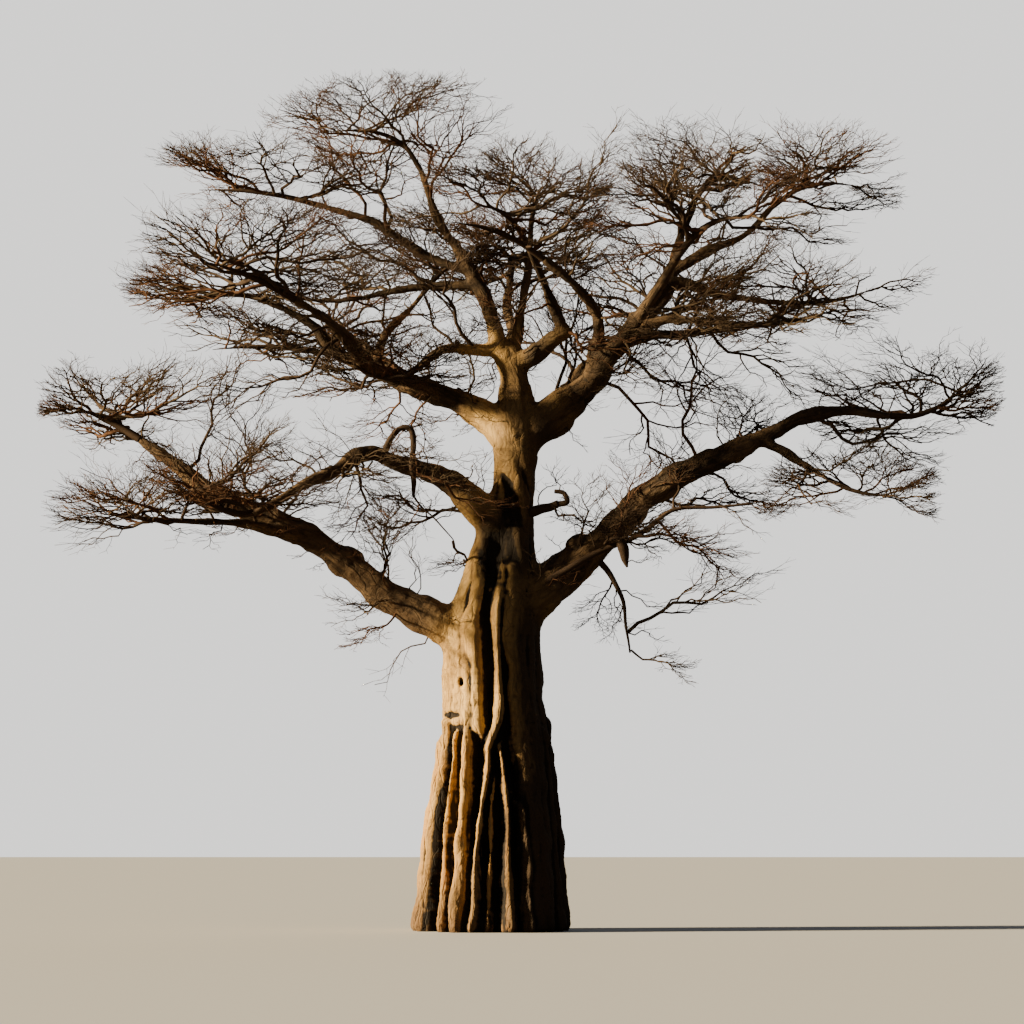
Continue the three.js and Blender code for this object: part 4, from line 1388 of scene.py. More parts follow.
@dataclass(frozen=True)
class KnobRule:
    """How small knobs are dealt out along a bough, and how finely a knob is drawn."""

    gap: float = 1.3
    stretch: Pair = (0.25, 0.95)
    thickness: Pair = (0.5, 0.8)
    length: float = 1.7
    out: float = 0.62
    sides: int = 12
    rings: int = 9
    last_ring: float = 1.45

    def lump(self, middle: Array, size: Triple, along: Array, out: Array) -> Shell:
        """A rounded lump.

        Args:
            middle: Its middle.
            size: Its half sizes along its limb, across and outwards.
            along: The limb's direction.
            out: The way outwards.

        Returns:
            Its points and faces.
        """
        across = unit(np.cross(along, out))
        out = np.cross(across, along)
        turn = np.linspace(0, 2 * np.pi, self.sides, endpoint=False)[:, None]
        flat = np.cos(turn) * size[1] * across + np.sin(turn) * size[2] * out
        return capped(np.array([
            middle + along * size[0] * math.sin(angle) + flat * math.cos(angle)
            for angle in np.linspace(-self.last_ring, self.last_ring, self.rings)]))

    def small_knobs(self, limb: Limb, number: int) -> list[Shell]:
        """The small knobs of a numbered limb, where old side limbs broke off and healed over."""
        shells = []
        dice = Dice(own_seed(number, KNOB_SEED))
        for _ in range(int(limb.plan.length / self.gap)):
            share, turn, size = (float(dice.roll()[0]) for _ in range(3))
            point, along, radius = limb.at_share(mix(*self.stretch, share))
            side = unit(np.cross(along, UP))
            angle = 2 * math.pi * turn
            out = math.cos(angle) * side + math.sin(angle) * np.cross(side, along)
            thick = radius * mix(*self.thickness, size)
            shells.append(self.lump(point + out * radius * self.out,
                                    (thick * self.length, thick, thick), along, out))
        return shells


def capped(rings: Array) -> Shell:
    """Joins rings of points, foot first, into a closed shell."""
    count, sides = rings.shape[:2]
    i, j = np.meshgrid(np.arange(count - 1), np.arange(sides), indexing="ij")
    a, b = i * sides + j, i * sides + (j + 1) % sides
    quads = np.stack([a, b, b + sides, a + sides], axis=-1).reshape(-1, 4).tolist()
    foot = list(range(sides))[::-1]
    top = [(count - 1) * sides + k for k in range(sides)]
    return rings.reshape(-1, 3), quads + [foot, top]


def fine_path(limb: Limb, spans: int = 6) -> tuple[Array, Array]:
    """Draws a limb's path as a smooth curve.

    Args:
        limb: The limb.
        spans: How many spans each step of its path gets.

    Returns:
        The curve's points, and the radius at each.
    """
    steps = len(limb.path) - 1
    curve = flowing(limb.path[None], np.array([steps]), steps * spans)[0]
    place = np.linspace(0, steps, len(curve))
    return curve, np.interp(place, np.arange(steps + 1), limb.radii)


def along_line(points: Array, start: Array, end: Array) -> tuple[Array, Array]:
    """Finds the nearest place on a straight line for each point.

    Args:
        points: Points, one a row.
        start: The line's start.
        end: The line's end.

    Returns:
        The share of the line's length at each place, and the offset from there to the point.
    """
    line = end - start
    share = np.clip((points - start) @ line / (line @ line), 0, 1)
    return share, points - start - share[:, None] * line


@dataclass(frozen=True)
class HollowTest:
    """How the hollows are found where the bark gets painted shade: rounds of evening, gains and
    limits.
    """

    fine: float = 1.4
    broad: float = 0.9
    wide_rounds: int = 14
    usual: float = 0.8
    usual_rounds: int = 24
    bend_rounds: int = 3
    bend_share: float = 0.6
    bend_gain: float = 1.5
    deep_rounds: int = 2
    waist_lift: float = 0.2
    waist_fade: float = 0.7
    sunk_from: Pair = (0.2, 0.08)
    sunk_over: Pair = (0.6, 0.26)
    sunk_gain: float = 0.45


@dataclass
class Skin:
    """The bark of the trunk and boughs: one closed skin, smoothed where limbs meet.

    The pieces of wood under it are numbered: 0 is the trunk, and then come its limbs.
    """

    framework: Framework
    relief: BarkRelief = BarkRelief()
    form: BarkForm = BarkForm()
    test: HollowTest = HollowTest()
    knobs: KnobRule = KnobRule()
    voxel: float = 0.034
    root: float = -0.3
    trunk_sides: int = 360
    trunk_rings: int = 300
    limb_sides: int = 24
    overlap: float = 0.06
    tip_rise: float = 0.5
    tip_share: float = 0.4
    trunk_reach: float = 0.8
    bark_turn: float = 0.9
    upper_bark: Triple = (7.6, 4.0, 0.75)
    bark_rounds: int = 30
    even_rounds: int = 5
    even_pull: float = 0.5
    even_push: float = 0.52
    weld_rounds: int = 100
    weld_pull: float = 0.5
    inward: float = 0.08
    weld_reach: Triple = (1.3, 0.1, 0.42)
    weld_edge: float = 1.1
    relief_girth: Triple = (1.5, 0.12, 1.0)
    trunk_lump: float = 0.055
    bough_lump: Triple = (0.75, 0.0, 0.17)
    bough_gain: Triple = (1.5, 0.0, 1.0)
    wood_gap: Triple = (7.3, 3.1, 11.7)

    @property
    def limbs(self) -> list[Limb]:
        """The limbs that the skin covers, in the table's order."""
        return [limb for name, limb in self.framework.limbs.items() if name not in LONE_LIMBS]

    def trunk_shell(self) -> Shell:
        """The trunk's points and faces, with its ribs, folds and hollows."""
        trunk = self.framework.trunk
        heights = np.linspace(self.root, trunk.top, self.trunk_rings)[:, None]
        turn = np.linspace(0, 360, self.trunk_sides, endpoint=False)[None] + heights * 0
        climbed = np.maximum(heights, 0)
        radius = self.form.radius(trunk.girth(climbed), climbed, turn)
        points = trunk.centre(climbed[:, 0])[:, None]
        points = points + direction(turn, np.zeros_like(radius)) * radius[..., None]
        points[..., 2] = heights
        return capped(points)

    def knob_shells(self) -> list[Shell]:
        """The large knobs of the table and the small ones of the boughs."""
        shells = []
        for knob in KNOBS:
            point, along, radius = self.framework.limbs[knob.limb].at_share(knob.share)
            out = unit(direction(np.array(knob.heading), np.array(knob.rise)))
            middle = point + out * radius * knob.out
            shells.append(self.knobs.lump(middle, knob.size, along, out))
        for number, limb in enumerate(self.limbs):
            shells += self.knobs.small_knobs(limb, number)
        return shells

    def limb_shell(self, limb: Limb) -> Shell:
        """A limb's points and faces, as a tube round its smooth path."""
        curve, radii = fine_path(limb)
        along = unit(np.gradient(curve, axis=0))
        if limb.plan.at == TIP:
            curve[0] -= along[0] * self.overlap
        side = np.cross(along[0], UP if abs(along[0, 2]) < STEEP else EAST)
        turn = np.linspace(0, 2 * np.pi, self.limb_sides, endpoint=False)[:, None]
        rings = []
        for point, ahead, radius in zip(curve, along, radii):
            side = unit(side - ahead * (side @ ahead))
            other = np.cross(ahead, side)
            rings.append(point + radius * (np.cos(turn) * side + np.sin(turn) * other))
        tip = curve[-1] + along[-1] * radii[-1] * self.tip_rise
        rings.append(mix(rings[-1], tip, self.tip_share))
        return capped(np.array(rings))

    def fused(self) -> tuple[Array, Array]:
        """One skin round the trunk and the limbs, as points and four-sided faces."""
        shells = [self.trunk_shell(), *map(self.limb_shell, self.limbs), *self.knob_shells()]
        points, faces, count = [], [], 0
        for shell_points, shell_faces in shells:
            points.append(shell_points)
            faces += [[k + count for k in face] for face in shell_faces]
            count += len(shell_points)
        piece = placed("wood", plain_mesh("wood", np.concatenate(points), faces))
        remesh = piece.modifiers.new("skin", "REMESH")
        remesh.mode, remesh.voxel_size, remesh.adaptivity = "VOXEL", self.voxel, 0.0
        mesh = settled(piece, "wood_skin")
        corners = read_vectors(mesh.loops, "vertex_index", 1)
        result = read_vectors(mesh.vertices, "co").astype(float), corners.reshape(-1, 4)
        bpy.data.meshes.remove(mesh)
        return result

    def nearness(self, points: Array) -> Array:
        """How far each point lies outside each piece of wood.

        Args:
            points: Points, one a row.

        Returns:
            An array with a row for each point and a column for each piece of wood.
        """
        trunk = self.framework.trunk
        height, heading, out = trunk.seen_from_middle(points)
        columns = [out - trunk.radius(height, heading) + np.abs(points[:, 2] - height)]
        for limb in self.limbs:
            nearest = np.full(len(points), np.inf)
            for i, (start, end) in enumerate(zip(limb.path, limb.path[1:])):
                share, offset = along_line(points, start, end)
                apart = np.linalg.norm(offset, axis=1) - mix(*limb.radii[i:i + 2], share)
                np.minimum(nearest, apart, out=nearest)
            columns.append(nearest)
        return np.stack(columns, axis=1)

    def place_on(self, wood: int, points: Array) -> Array:
        """Finds where points lie on the bark of a piece of wood.

        Args:
            wood: The number of the piece of wood.
            points: Points, one a row.

        Returns:
            How far each lies across, across the other way, and along the wood.
        """
        if wood == 0:
            return points - self.framework.trunk.centre(points[:, 2]) * LEVEL
        curve, _ = fine_path(self.limbs[wood - 1])
        lengths = np.linalg.norm(np.diff(curve, axis=0), axis=1)
        starts = np.concatenate([[0], np.cumsum(lengths)])
        nearest = np.full(len(points), np.inf)
        result = np.zeros_like(points)
        side, other = sideways(unit(curve[-1] - curve[0]))
        for i, length in enumerate(lengths):
            share, offset = along_line(points, curve[i], curve[i + 1])
            apart = np.linalg.norm(offset, axis=1)
            rows = apart < nearest
            nearest[rows] = apart[rows]
            result[rows] = np.stack([offset[rows] @ side, offset[rows] @ other,
                                     starts[i] + share[rows] * length], axis=1)
        return result + np.array(self.wood_gap) * wood

    def girth_on(self, wood: int, points: Array) -> Array:
        """The radius of a numbered piece of wood near each point."""
        if wood == 0:
            return self.framework.trunk.girth(np.clip(points[:, 2], 0, self.framework.trunk.top))
        limb = self.limbs[wood - 1]
        nearest = np.full(len(points), np.inf)
        result = np.zeros(len(points))
        for place, radius in zip(limb.path, limb.radii):
            apart = np.linalg.norm(points - place, axis=1)
            rows = apart < nearest
            nearest[rows], result[rows] = apart[rows], radius
        return result

    def on_own_wood(self, measure: Callable[[int, Array], Array], wood: Array,
                    points: Array) -> Array:
        """Measures each point on a piece of wood of its own.

        Args:
            measure: The measure of points on a piece of wood.
            wood: The number of each point's piece of wood.
            points: Points, one a row.

        Returns:
            The measures in the points' order.
        """
        rows = [np.flatnonzero(wood == number) for number in range(len(self.limbs) + 1)]
        found = np.concatenate([measure(number, points[mine]) for number, mine in enumerate(rows)])
        result = np.empty_like(found)
        result[np.concatenate(rows)] = found
        return result

    def softened(self, points: Array, edges: Array, faces: Array, weld: Array) -> Array:
        """Takes the steps out of a skin, and fills the corners where two limbs meet.

        Args:
            points: The skin's points.
            edges: Its edges.
            faces: Its faces.
            weld: How near each point is to a meeting of limbs, from 0 to 1.

        Returns:
            The moved points.
        """
        for _ in range(self.even_rounds):
            points = points + self.even_pull * (neighbour_mean(points, edges) - points)
            points = points - self.even_push * (neighbour_mean(points, edges) - points)
        pull = self.weld_pull * weld[:, None]
        for _ in range(self.weld_rounds):
            move = neighbour_mean(points, edges) - points
            outward = (move * self.facing(points, faces)).sum(axis=1, keepdims=True)
            points = points + pull * move * np.where(outward > 0, 1.0, self.inward)
        return points

    @staticmethod
    def facing(points: Array, faces: Array) -> Array:
        """The direction that the skin faces at each of its points."""
        across = points[faces[:, 2]] - points[faces[:, 0]]
        normal = np.cross(across, points[faces[:, 3]] - points[faces[:, 1]])
        total = [np.bincount(faces.ravel(), np.repeat(normal[:, axis], 4), len(points))
                 for axis in range(3)]
        return unit(np.stack(total, axis=1))

    def build(self, bark: Material) -> Mesh:
        """Builds the whole skin with its relief.

        Args:
            bark: The material that the relief is dressed in.

        Returns:
            The skin as one mesh, with the attributes that its bark is painted by.
        """
        points, faces = self.fused()
        mesh = plain_mesh("wood_skin", points, faces)
        edges = read_vectors(mesh.edges, "vertices", 2)
        apart = self.nearness(points)
        order = np.argsort(apart, axis=1)[:, :2]
        rows = np.arange(len(points))
        gap = apart[rows, order[:, 1]] - apart[rows, order[:, 0]]
        own_girth, next_girth = (self.on_own_wood(self.girth_on, wood, points) for wood in order.T)
        reach = held(np.minimum(own_girth, next_girth), self.weld_reach)
        meeting = smooth(self.weld_edge - gap / reach)
        points = self.softened(points, edges, faces, meeting)
        mesh.vertices.foreach_set("co", points.ravel())
        weld = 0.5 * meeting
        thick = mix(own_girth, next_girth, weld)
        bough = self.bough_share(points, order[:, 0], edges)
        lumps = mix(self.trunk_lump, held(thick, self.bough_lump), held(bough, self.bough_gain))
        stored = {"weld": weld, "girth": held(thick, self.relief_girth), "lumps": lumps,
                  "bough": bough, "own_place": self.on_own_wood(self.place_on, order[:, 0], points),
                  "next_place": self.on_own_wood(self.place_on, order[:, 1], points)}
        for name, values in stored.items():
            store(mesh, name, values)
        skin = shaped(placed("wood_skin", mesh), "wood_bark", self.relief.tree(),
                      {"Bark": bark, **dict(self.relief.sizes)})
        points = read_vectors(skin.vertices, "co").astype(float)
        points[:, 2] = np.maximum(points[:, 2], 0)
        skin.vertices.foreach_set("co", points.ravel())
        trunk_share = np.where(order[:, 0] == 0, 1 - weld, 0)
        # The hollow value is the mask of the shade that the bark's material paints in its crevices
        # and gaps.
        store(skin, "hollow", self.hollow(skin, points, edges, trunk_share))
        self.mark_wood(skin, points, faces, order, weld)
        return skin

    def bough_share(self, points: Array, wood: Array, edges: Array) -> Array:
        """How far the bark has turned from the trunk's to the boughs' at each point.

        Args:
            points: Points on the skin.
            wood: The piece of wood that each lies on.
            edges: The skin's edges.

        Returns:
            A value from 0 on the trunk to 1 out on the boughs.
        """
        share = np.where(wood == 0, 0.0, 1.0)
        for number, limb in enumerate(self.limbs, start=1):
            if limb.plan.grows_from == "trunk":
                rows = wood == number
                out = np.linalg.norm(points[rows] - limb.path[0], axis=1)
                share[rows] = smooth((out - self.trunk_reach) / self.bark_turn)
        height, fade, most = self.upper_bark
        upper = smooth((points[:, 2] - height) / fade) * most
        share = np.maximum(share, np.where(wood == 0, upper, 0))[:, None]
        return evened(share, edges, self.bark_rounds)[:, 0]

    def hollow(self, skin: Mesh, points: Array, edges: Array, trunk_share: Array) -> Array:
        """Finds how hollow the bark is, by how its surface bends and where its ribs part, as the
        mask of its painted shade.

        Args:
            skin: The skin's mesh.
            points: Its points.
            edges: Its edges.
            trunk_share: The trunk's share in the bark at each point.

        Returns:
            A value for each point, from 0 on a ridge to 1 in a gap.
        """
        normals = read_vectors(skin.vertices, "normal").astype(float)
        tests = self.test
        fine = ((neighbour_mean(points, edges) - points) * normals).sum(axis=1) / self.voxel
        wide = evened(points, edges, tests.wide_rounds)
        broad = ((wide - points) * normals).sum(axis=1) / (self.voxel * 2)
        bend = (tests.fine * fine + tests.broad * broad)[:, None]
        usual = evened(bend, edges, tests.usual_rounds)
        bend = evened(bend, edges, tests.bend_rounds, tests.bend_share)
        trunk = self.framework.trunk
        height, heading, _ = trunk.seen_from_middle(points)
        deep = self.form.sunk(height, heading, trunk.girth(height)) * trunk_share
        deep = evened(deep[:, None], edges, tests.deep_rounds)
        low = smooth((self.form.waist + tests.waist_lift - height) / tests.waist_fade)[:, None]
        sunk = smooth((deep - mix(*tests.sunk_from, low)) / mix(*tests.sunk_over, low))
        hollow = 0.5 + tests.bend_gain * (bend - tests.usual * usual) + tests.sunk_gain * sunk
        return np.clip(hollow, 0, 1)[:, 0]

    def mark_wood(self, skin: Mesh, points: Array, faces: Array, order: Array, weld: Array) -> None:
        """Stores the piece of wood that each face lies on, and its place there and on the next.

        Args:
            skin: The skin's mesh.
            points: Its points.
            faces: Its faces.
            order: The two pieces of wood that lie nearest each point.
            weld: The second one's share in the bark there.
        """
        first = order[faces[:, 0], 0]
        others = np.concatenate([order[faces, 0], order[faces, 1]], axis=1)
        weights = np.concatenate([1 - weld[faces], weld[faces]], axis=1)
        foreign = np.where(others == first[:, None], -1.0, weights)
        rows = np.arange(len(faces))
        best = foreign.argmax(axis=1)
        second = np.where(foreign[rows, best] > 0, others[rows, best], first)
        corners, pair = faces.ravel(), (np.repeat(first, 4), np.repeat(second, 4))
        own, near = order[corners, 0], order[corners, 1]
        lean = weld[corners]
        shares = [(own == wood) * (1 - lean) + (near == wood) * lean for wood in pair]
        blend = np.where(pair[0] == pair[1], 0, shares[1] / np.maximum(sum(shares), 1e-6))
        for name, wood in (("bark_place", pair[0]), ("joined_place", pair[1])):
            store(skin, name, self.on_own_wood(self.place_on, wood, points[corners]), "CORNER")
        store(skin, "joined", blend, "CORNER")
        low = (first == 0) & (points[faces[:, 0], 2] < self.form.waist)
        store(skin, "wood", np.where(low, FOOT_WOOD, first), "FACE")

    def pieces(self, skin: Mesh, groups: dict[str, list[int]]) -> list[Object]:
        """Splits the skin into closed pieces by the wood that each face lies on.

        Args:
            skin: The whole skin.
            groups: The numbers of the pieces of wood that go to each named piece.

        Returns:
            The pieces, shaded as one surface.
        """
        wood = read_vectors(skin.attributes["wood"].data, "value", 1)[:, 0]
        normals = read_vectors(skin.vertices, "normal")
        made = []
        for name, members in groups.items():
            other = np.flatnonzero(~np.isin(wood, members))
            mesh = skin.copy()
            mesh.name = name
            grid = bmesh.new()
            grid.from_mesh(mesh)
            origin = grid.verts.layers.int.new("origin")
            for vertex in grid.verts:
                vertex[origin] = vertex.index
            grid.faces.ensure_lookup_table()
            bmesh.ops.delete(grid, geom=[grid.faces[i] for i in other], context="FACES")
            count = len(grid.faces)
            open_edges = [edge for edge in grid.edges if edge.is_boundary]
            bmesh.ops.holes_fill(grid, edges=open_edges, sides=0)
            grid.to_mesh(mesh)
            grid.free()
            numbers = read_vectors(mesh.attributes["origin"].data, "value", 1)[:, 0]
            corners = read_vectors(mesh.loops, "vertex_index", 1)[:, 0]
            shading = normals[numbers[corners]]
            for face in list(mesh.polygons)[count:]:
                shading[list(face.loop_indices)] = np.array(face.normal)
            mesh.attributes.remove(mesh.attributes["origin"])
            mesh.shade_smooth()
            mesh.normals_split_custom_set(shading.tolist())
            made.append(placed(name, mesh))
        return made


def new_material(name: str) -> tuple[Material, Graph, Node]:
    """Starts a material: itself, its node tree and the shader that its values feed."""
    made = bpy.data.materials.new(name)
    made.use_nodes = True
    return made, Graph(made.node_tree), made.node_tree.nodes["Principled BSDF"]


@dataclass(frozen=True)
class BarkPattern:
    """The bark's pattern at a place on one limb: patches, streaks, wrinkles, flecks, cracks."""

    outputs: tuple[str, ...] = ("Patches", "Streaks", "Wrinkles", "Flecks", "Cracks")
    patches: Grain = Grain((1, 1, 0.4), 1.1, 4.0, 0.6, 0.5)
    streaks: Grain = Grain((1, 1, 0.09), 11.0, 5.0, 0.65, 0.3)
    wrinkles: Grain = Grain((0.6, 0.6, 4.5), 3.2, 5.0, 0.62, 0.9)
    fleck_scale: float = 16.0
    fleck_edge: float = 2.2
    sway_scale: float = 1.7
    sway: float = 0.5
    crack_stretch: Triple = (1, 1, 0.13)
    crack_scale: float = 5.5
    crack_edge: float = 9.0

    def group(self) -> NodeTree:
        """A shader group that puts out a value from 0 to 1 for each kind of mark."""
        graph = Graph.group("bark_pattern", "Shader", {"Place": "Vector"},
                            dict.fromkeys(self.outputs, "Float"))
        place = graph.add("NodeGroupInput").outputs["Place"]
        inputs = {"Vector": place, "Scale": self.fleck_scale}
        cells = graph.add("ShaderNodeTexVoronoi", inputs).outputs[0]
        inputs = {"Vector": place, "Scale": self.sway_scale}
        sway = graph.add("ShaderNodeTexNoise", inputs).outputs["Color"]
        bent = graph.vector("ADD", graph.vector("MULTIPLY", sway, (self.sway,) * 3), place)
        inputs = {"Vector": graph.vector("MULTIPLY", bent, self.crack_stretch),
                  "Scale": self.crack_scale}
        edge = graph.add("ShaderNodeTexVoronoi", inputs,
                         feature="DISTANCE_TO_EDGE").outputs["Distance"]
        marks = [graph.noise(place, grain) for grain in (self.patches, self.streaks, self.wrinkles)]
        for far, gain in ((cells, self.fleck_edge), (edge, self.crack_edge)):
            near = graph.math("MULTIPLY", far, gain, clamp=True)
            marks.append(graph.math("SUBTRACT", 1.0, near))
        graph.add("NodeGroupOutput", dict(zip(self.outputs, marks)))
        return graph.tree


@dataclass(frozen=True)
class BarkTones:
    """The dark, middle and pale tone of a stretch of bark."""

    dark: Triple
    middle: Triple
    pale: Triple


@dataclass(frozen=True)
class BarkFinish:
    """Bark: its tones on trunk and boughs, its cracks, its darker foot, its painted shade and its
    bump.

    A slope is the gain and offset that turn a value into a mask, and a cover is the most of the
    bark that a tone takes up.
    """

    name: str
    trunk: BarkTones = BarkTones((0.26, 0.147, 0.06), (0.69, 0.43, 0.15), (0.88, 0.6, 0.24))
    bough: BarkTones = BarkTones((0.026, 0.017, 0.011), (0.08, 0.049, 0.027), (0.25, 0.16, 0.085))
    patch_stops: Triple = (0.4, 0.48, 0.57)
    streak_stops: Triple = (0.34, 0.5, 0.63)
    streak_share: float = 0.45
    ridge_slope: Pair = (-2.4, 0.9)
    ridge_cover: float = 0.5
    wrinkle_slope: Pair = (-4.0, 1.9)
    wrinkle_cover: float = 0.4
    crack_cover: float = 0.45
    # A near-black tone for the flecks, and for the shade painted in the bark's hollows and between
    # its ribs.
    crack: Triple = (0.014, 0.009, 0.007)
    fleck_slope: Pair = (3.0, -1.7)
    fleck_cover: float = 0.35
    # Partly painted shade of the grass round the foot, partly staining: the bark darkens towards
    # this tone near the ground.
    foot: Triple = (0.13, 0.07, 0.038)
    foot_height: float = 1.0
    foot_ragged: float = 2.4
    foot_fade: float = 0.45
    foot_cover: float = 0.85
    ruddy: Triple = (0.7, 0.36, 0.11)
    ruddy_height: float = 4.4
    ruddy_slope: Pair = (6.0, -2.6)
    ruddy_cover: float = 0.7
    # Painted shade: a near-black tone laid on the trunk's east side, away from the key light, and
    # on the painted shadow of the middle-left bough.
    stain: Triple = (0.036, 0.024, 0.018)
    stain_ragged: float = 2.0
    stain_east: float = -1.1
    stain_fade: float = 1.6
    stain_cover: float = 0.94
    # Painted shadow of the middle-left bough on the trunk, round the height where it leaves, with
    # ragged edges.
    fork_height: float = 8.2
    fork_ragged: Pair = (1.6, 0.75)
    fork_fade: float = 1.5
    fork_east: Pair = (3.5, 1.6)
    # The painted shade in the hollows: how the hollow value becomes a mask, and how much less of it
    # the boughs get.
    shade_slope: Pair = (3.2, -1.75)
    shade_less_on_boughs: float = 0.1
    roughness: Pair = (0.16, 0.78)
    relief: float = 0.02
    bump: float = 0.9
    wrinkle_rise: float = 0.9
    fleck_rise: float = -0.3
    crack_rise: float = -0.7
    grain: Grain = Grain((1, 1, 1), 34.0, 5.0, 0.65)
    grain_rise: float = 0.5

    def material(self, pattern: NodeTree) -> Material:
        """Builds the finish's material.

        Args:
            pattern: The shader group of the bark's pattern.

        Returns:
            The material.
        """
        made, graph, shader = new_material(self.name)
        marks = self.marks(graph, pattern)
        hollow, bough = (graph.attribute(name, "Fac") for name in ("hollow", "bough"))
        where = graph.add("ShaderNodeTexCoord").outputs["Object"]
        pair = [self.toned(graph, tones, marks, hollow) for tones in (self.trunk, self.bough)]
        colour = graph.blend(bough, *pair)
        spot = graph.slope(marks["Flecks"], self.fleck_slope)
        colour = graph.cover(colour, self.crack, spot, self.fleck_cover)
        # Darker foot, partly painted shade; reddened lower trunk; painted shade on the east side
        # and the painted shadow of the middle-left bough.
        colour = self.weathered(graph, colour, where, marks["Patches"], bough)
        # Painted shade: crevices and the gaps between the ribs are darkened towards near black, a
        # little less on the boughs.
        shade = graph.slope(hollow, self.shade_slope)
        depth = graph.line(bough, -self.shade_less_on_boughs, 1.0)
        colour = graph.cover(colour, self.crack, shade, depth)
        rise = graph.line(marks["Wrinkles"], self.wrinkle_rise, marks["Streaks"])
        rise = graph.line(marks["Flecks"], self.fleck_rise, rise)
        rise = graph.line(marks["Cracks"], self.crack_rise, rise)
        rise = graph.line(graph.noise(where, self.grain), self.grain_rise, rise)
        inputs = {"Strength": self.bump, "Distance": self.relief, "Height": rise}
        bump = graph.add("ShaderNodeBump", inputs).outputs[0]
        rough = graph.line(marks["Streaks"], *self.roughness)
        graph.feed(shader, {"Base Color": colour, "Roughness": rough, "Normal": bump})
        return made

    @staticmethod
    def marks(graph: Graph, pattern: NodeTree) -> dict[str, NodeSocket]:
        """Places the pattern on a face's own wood and on the next, and blends the two.

        Args:
            graph: The material's tree.
            pattern: The shader group of the bark's pattern.

        Returns:
            The pattern's values by name.
        """
        joined = graph.attribute("joined", "Fac")
        own, near = (graph.add("ShaderNodeGroup", {0: graph.attribute(name, "Vector")},
                               node_tree=pattern).outputs
                     for name in ("bark_place", "joined_place"))
        marks = {}
        for name in own.keys():
            apart = graph.math("SUBTRACT", near[name], own[name])
            marks[name] = graph.line(apart, joined, own[name])
        return marks

    def weathered(self, graph: Graph, colour: object, where: NodeSocket,
                  patches: NodeSocket, bough: NodeSocket) -> object:
        """Darkens the foot by staining and painted shade, reddens the lower trunk, and paints shade
        on its east side and the middle-left bough's shadow.

        Args:
            graph: The material's tree.
            colour: The bark's colour.
            where: The place on the tree.
            patches: The pattern's patches, which make the edges ragged.
            bough: 0 on the trunk, 1 out on the boughs.

        Returns:
            The darkened and reddened colour.
        """
        parts = graph.add("ShaderNodeSeparateXYZ", {0: where}).outputs
        east, height = parts[0], parts[2]
        # The foot: partly painted shade of the grass round it, partly staining, darker below a
        # ragged line near the ground.
        low = graph.line(patches, self.foot_ragged, self.foot_height)
        low = graph.math("SUBTRACT", low, height)
        low = graph.math("MULTIPLY", low, self.foot_fade, clamp=True)
        colour = graph.cover(colour, self.foot, low, self.foot_cover)
        below = graph.math("SUBTRACT", self.ruddy_height, height, clamp=True)
        ruddy = graph.math("MULTIPLY", below, graph.slope(patches, self.ruddy_slope))
        colour = graph.cover(colour, self.ruddy, ruddy, self.ruddy_cover)
        # Painted shade on the trunk's east side, the side turned from the key light, with a ragged
        # edge.
        stain = graph.math("ADD", east, self.stain_east)
        stain = graph.line(patches, self.stain_ragged, stain)
        stain = graph.math("MULTIPLY", stain, self.stain_fade, clamp=True)
        # Painted shadow of the middle-left bough: a ragged band round the height of its crotch,
        # fading out towards the trunk's west edge.
        apart = graph.math("ABSOLUTE", graph.math("SUBTRACT", height, self.fork_height))
        near = graph.line(patches, *self.fork_ragged)
        near = graph.math("SUBTRACT", near, graph.math("MULTIPLY", apart, self.fork_fade),
                          clamp=True)
        fork_shadow = graph.math("MULTIPLY", near, graph.slope(east, self.fork_east))
        # The painted shade takes the darker of the two masks and lies on the trunk only, not the
        # boughs.
        stain = graph.math("MAXIMUM", stain, fork_shadow)
        cover = graph.line(bough, -self.stain_cover, self.stain_cover)
        return graph.cover(colour, self.stain, stain, cover)

    def toned(self, graph: Graph, tones: BarkTones, marks: dict[str, NodeSocket],
              hollow: NodeSocket) -> NodeSocket:
        """Colours the bark's pattern in one set of tones.

        Args:
            graph: The material's tree.
            tones: The tones.
            marks: The pattern's values by name.
            hollow: 0 on a ridge, 1 in a crevice.

        Returns:
            The colour.
        """
        three = [tones.dark, tones.middle, tones.pale]
        patch = graph.ramp(marks["Patches"], self.patch_stops, three)
        streak = graph.ramp(marks["Streaks"], self.streak_stops, three)
        colour = graph.blend(self.streak_share, patch, streak)
        ridge = graph.slope(hollow, self.ridge_slope)
        colour = graph.cover(colour, tones.pale, ridge, self.ridge_cover)
        wrinkle = graph.slope(marks["Wrinkles"], self.wrinkle_slope)
        colour = graph.cover(colour, tones.dark, wrinkle, self.wrinkle_cover)
        return graph.cover(colour, tones.dark, marks["Cracks"], self.crack_cover)


@dataclass(frozen=True)
class TwigFinish:
    """Twig bark: one plain base colour, with faint darker and paler marks along it."""

    name: str
    colour: Triple
    grain: Grain = Grain((1, 1, 1), 26.0, 3.0, 0.6)
    stops: Triple = (0.3, 0.52, 0.75)
    dark: float = 0.62
    pale: float = 1.3
    roughness: Pair = (0.2, 0.7)
    bump: float = 0.6
    relief: float = 0.004

    def material(self) -> Material:
        """Builds the finish's material."""
        made, graph, shader = new_material(self.name)
        marks = graph.noise(graph.add("ShaderNodeTexCoord").outputs["Object"], self.grain)
        tones = [tuple(part * share for part in self.colour) for share in (self.dark, 1, self.pale)]
        inputs = {"Strength": self.bump, "Distance": self.relief, "Height": marks}
        graph.feed(shader, {
            "Base Color": graph.ramp(marks, self.stops, tones),
            "Roughness": graph.line(marks, *self.roughness),
            "Normal": graph.add("ShaderNodeBump", inputs).outputs[0]})
        return made


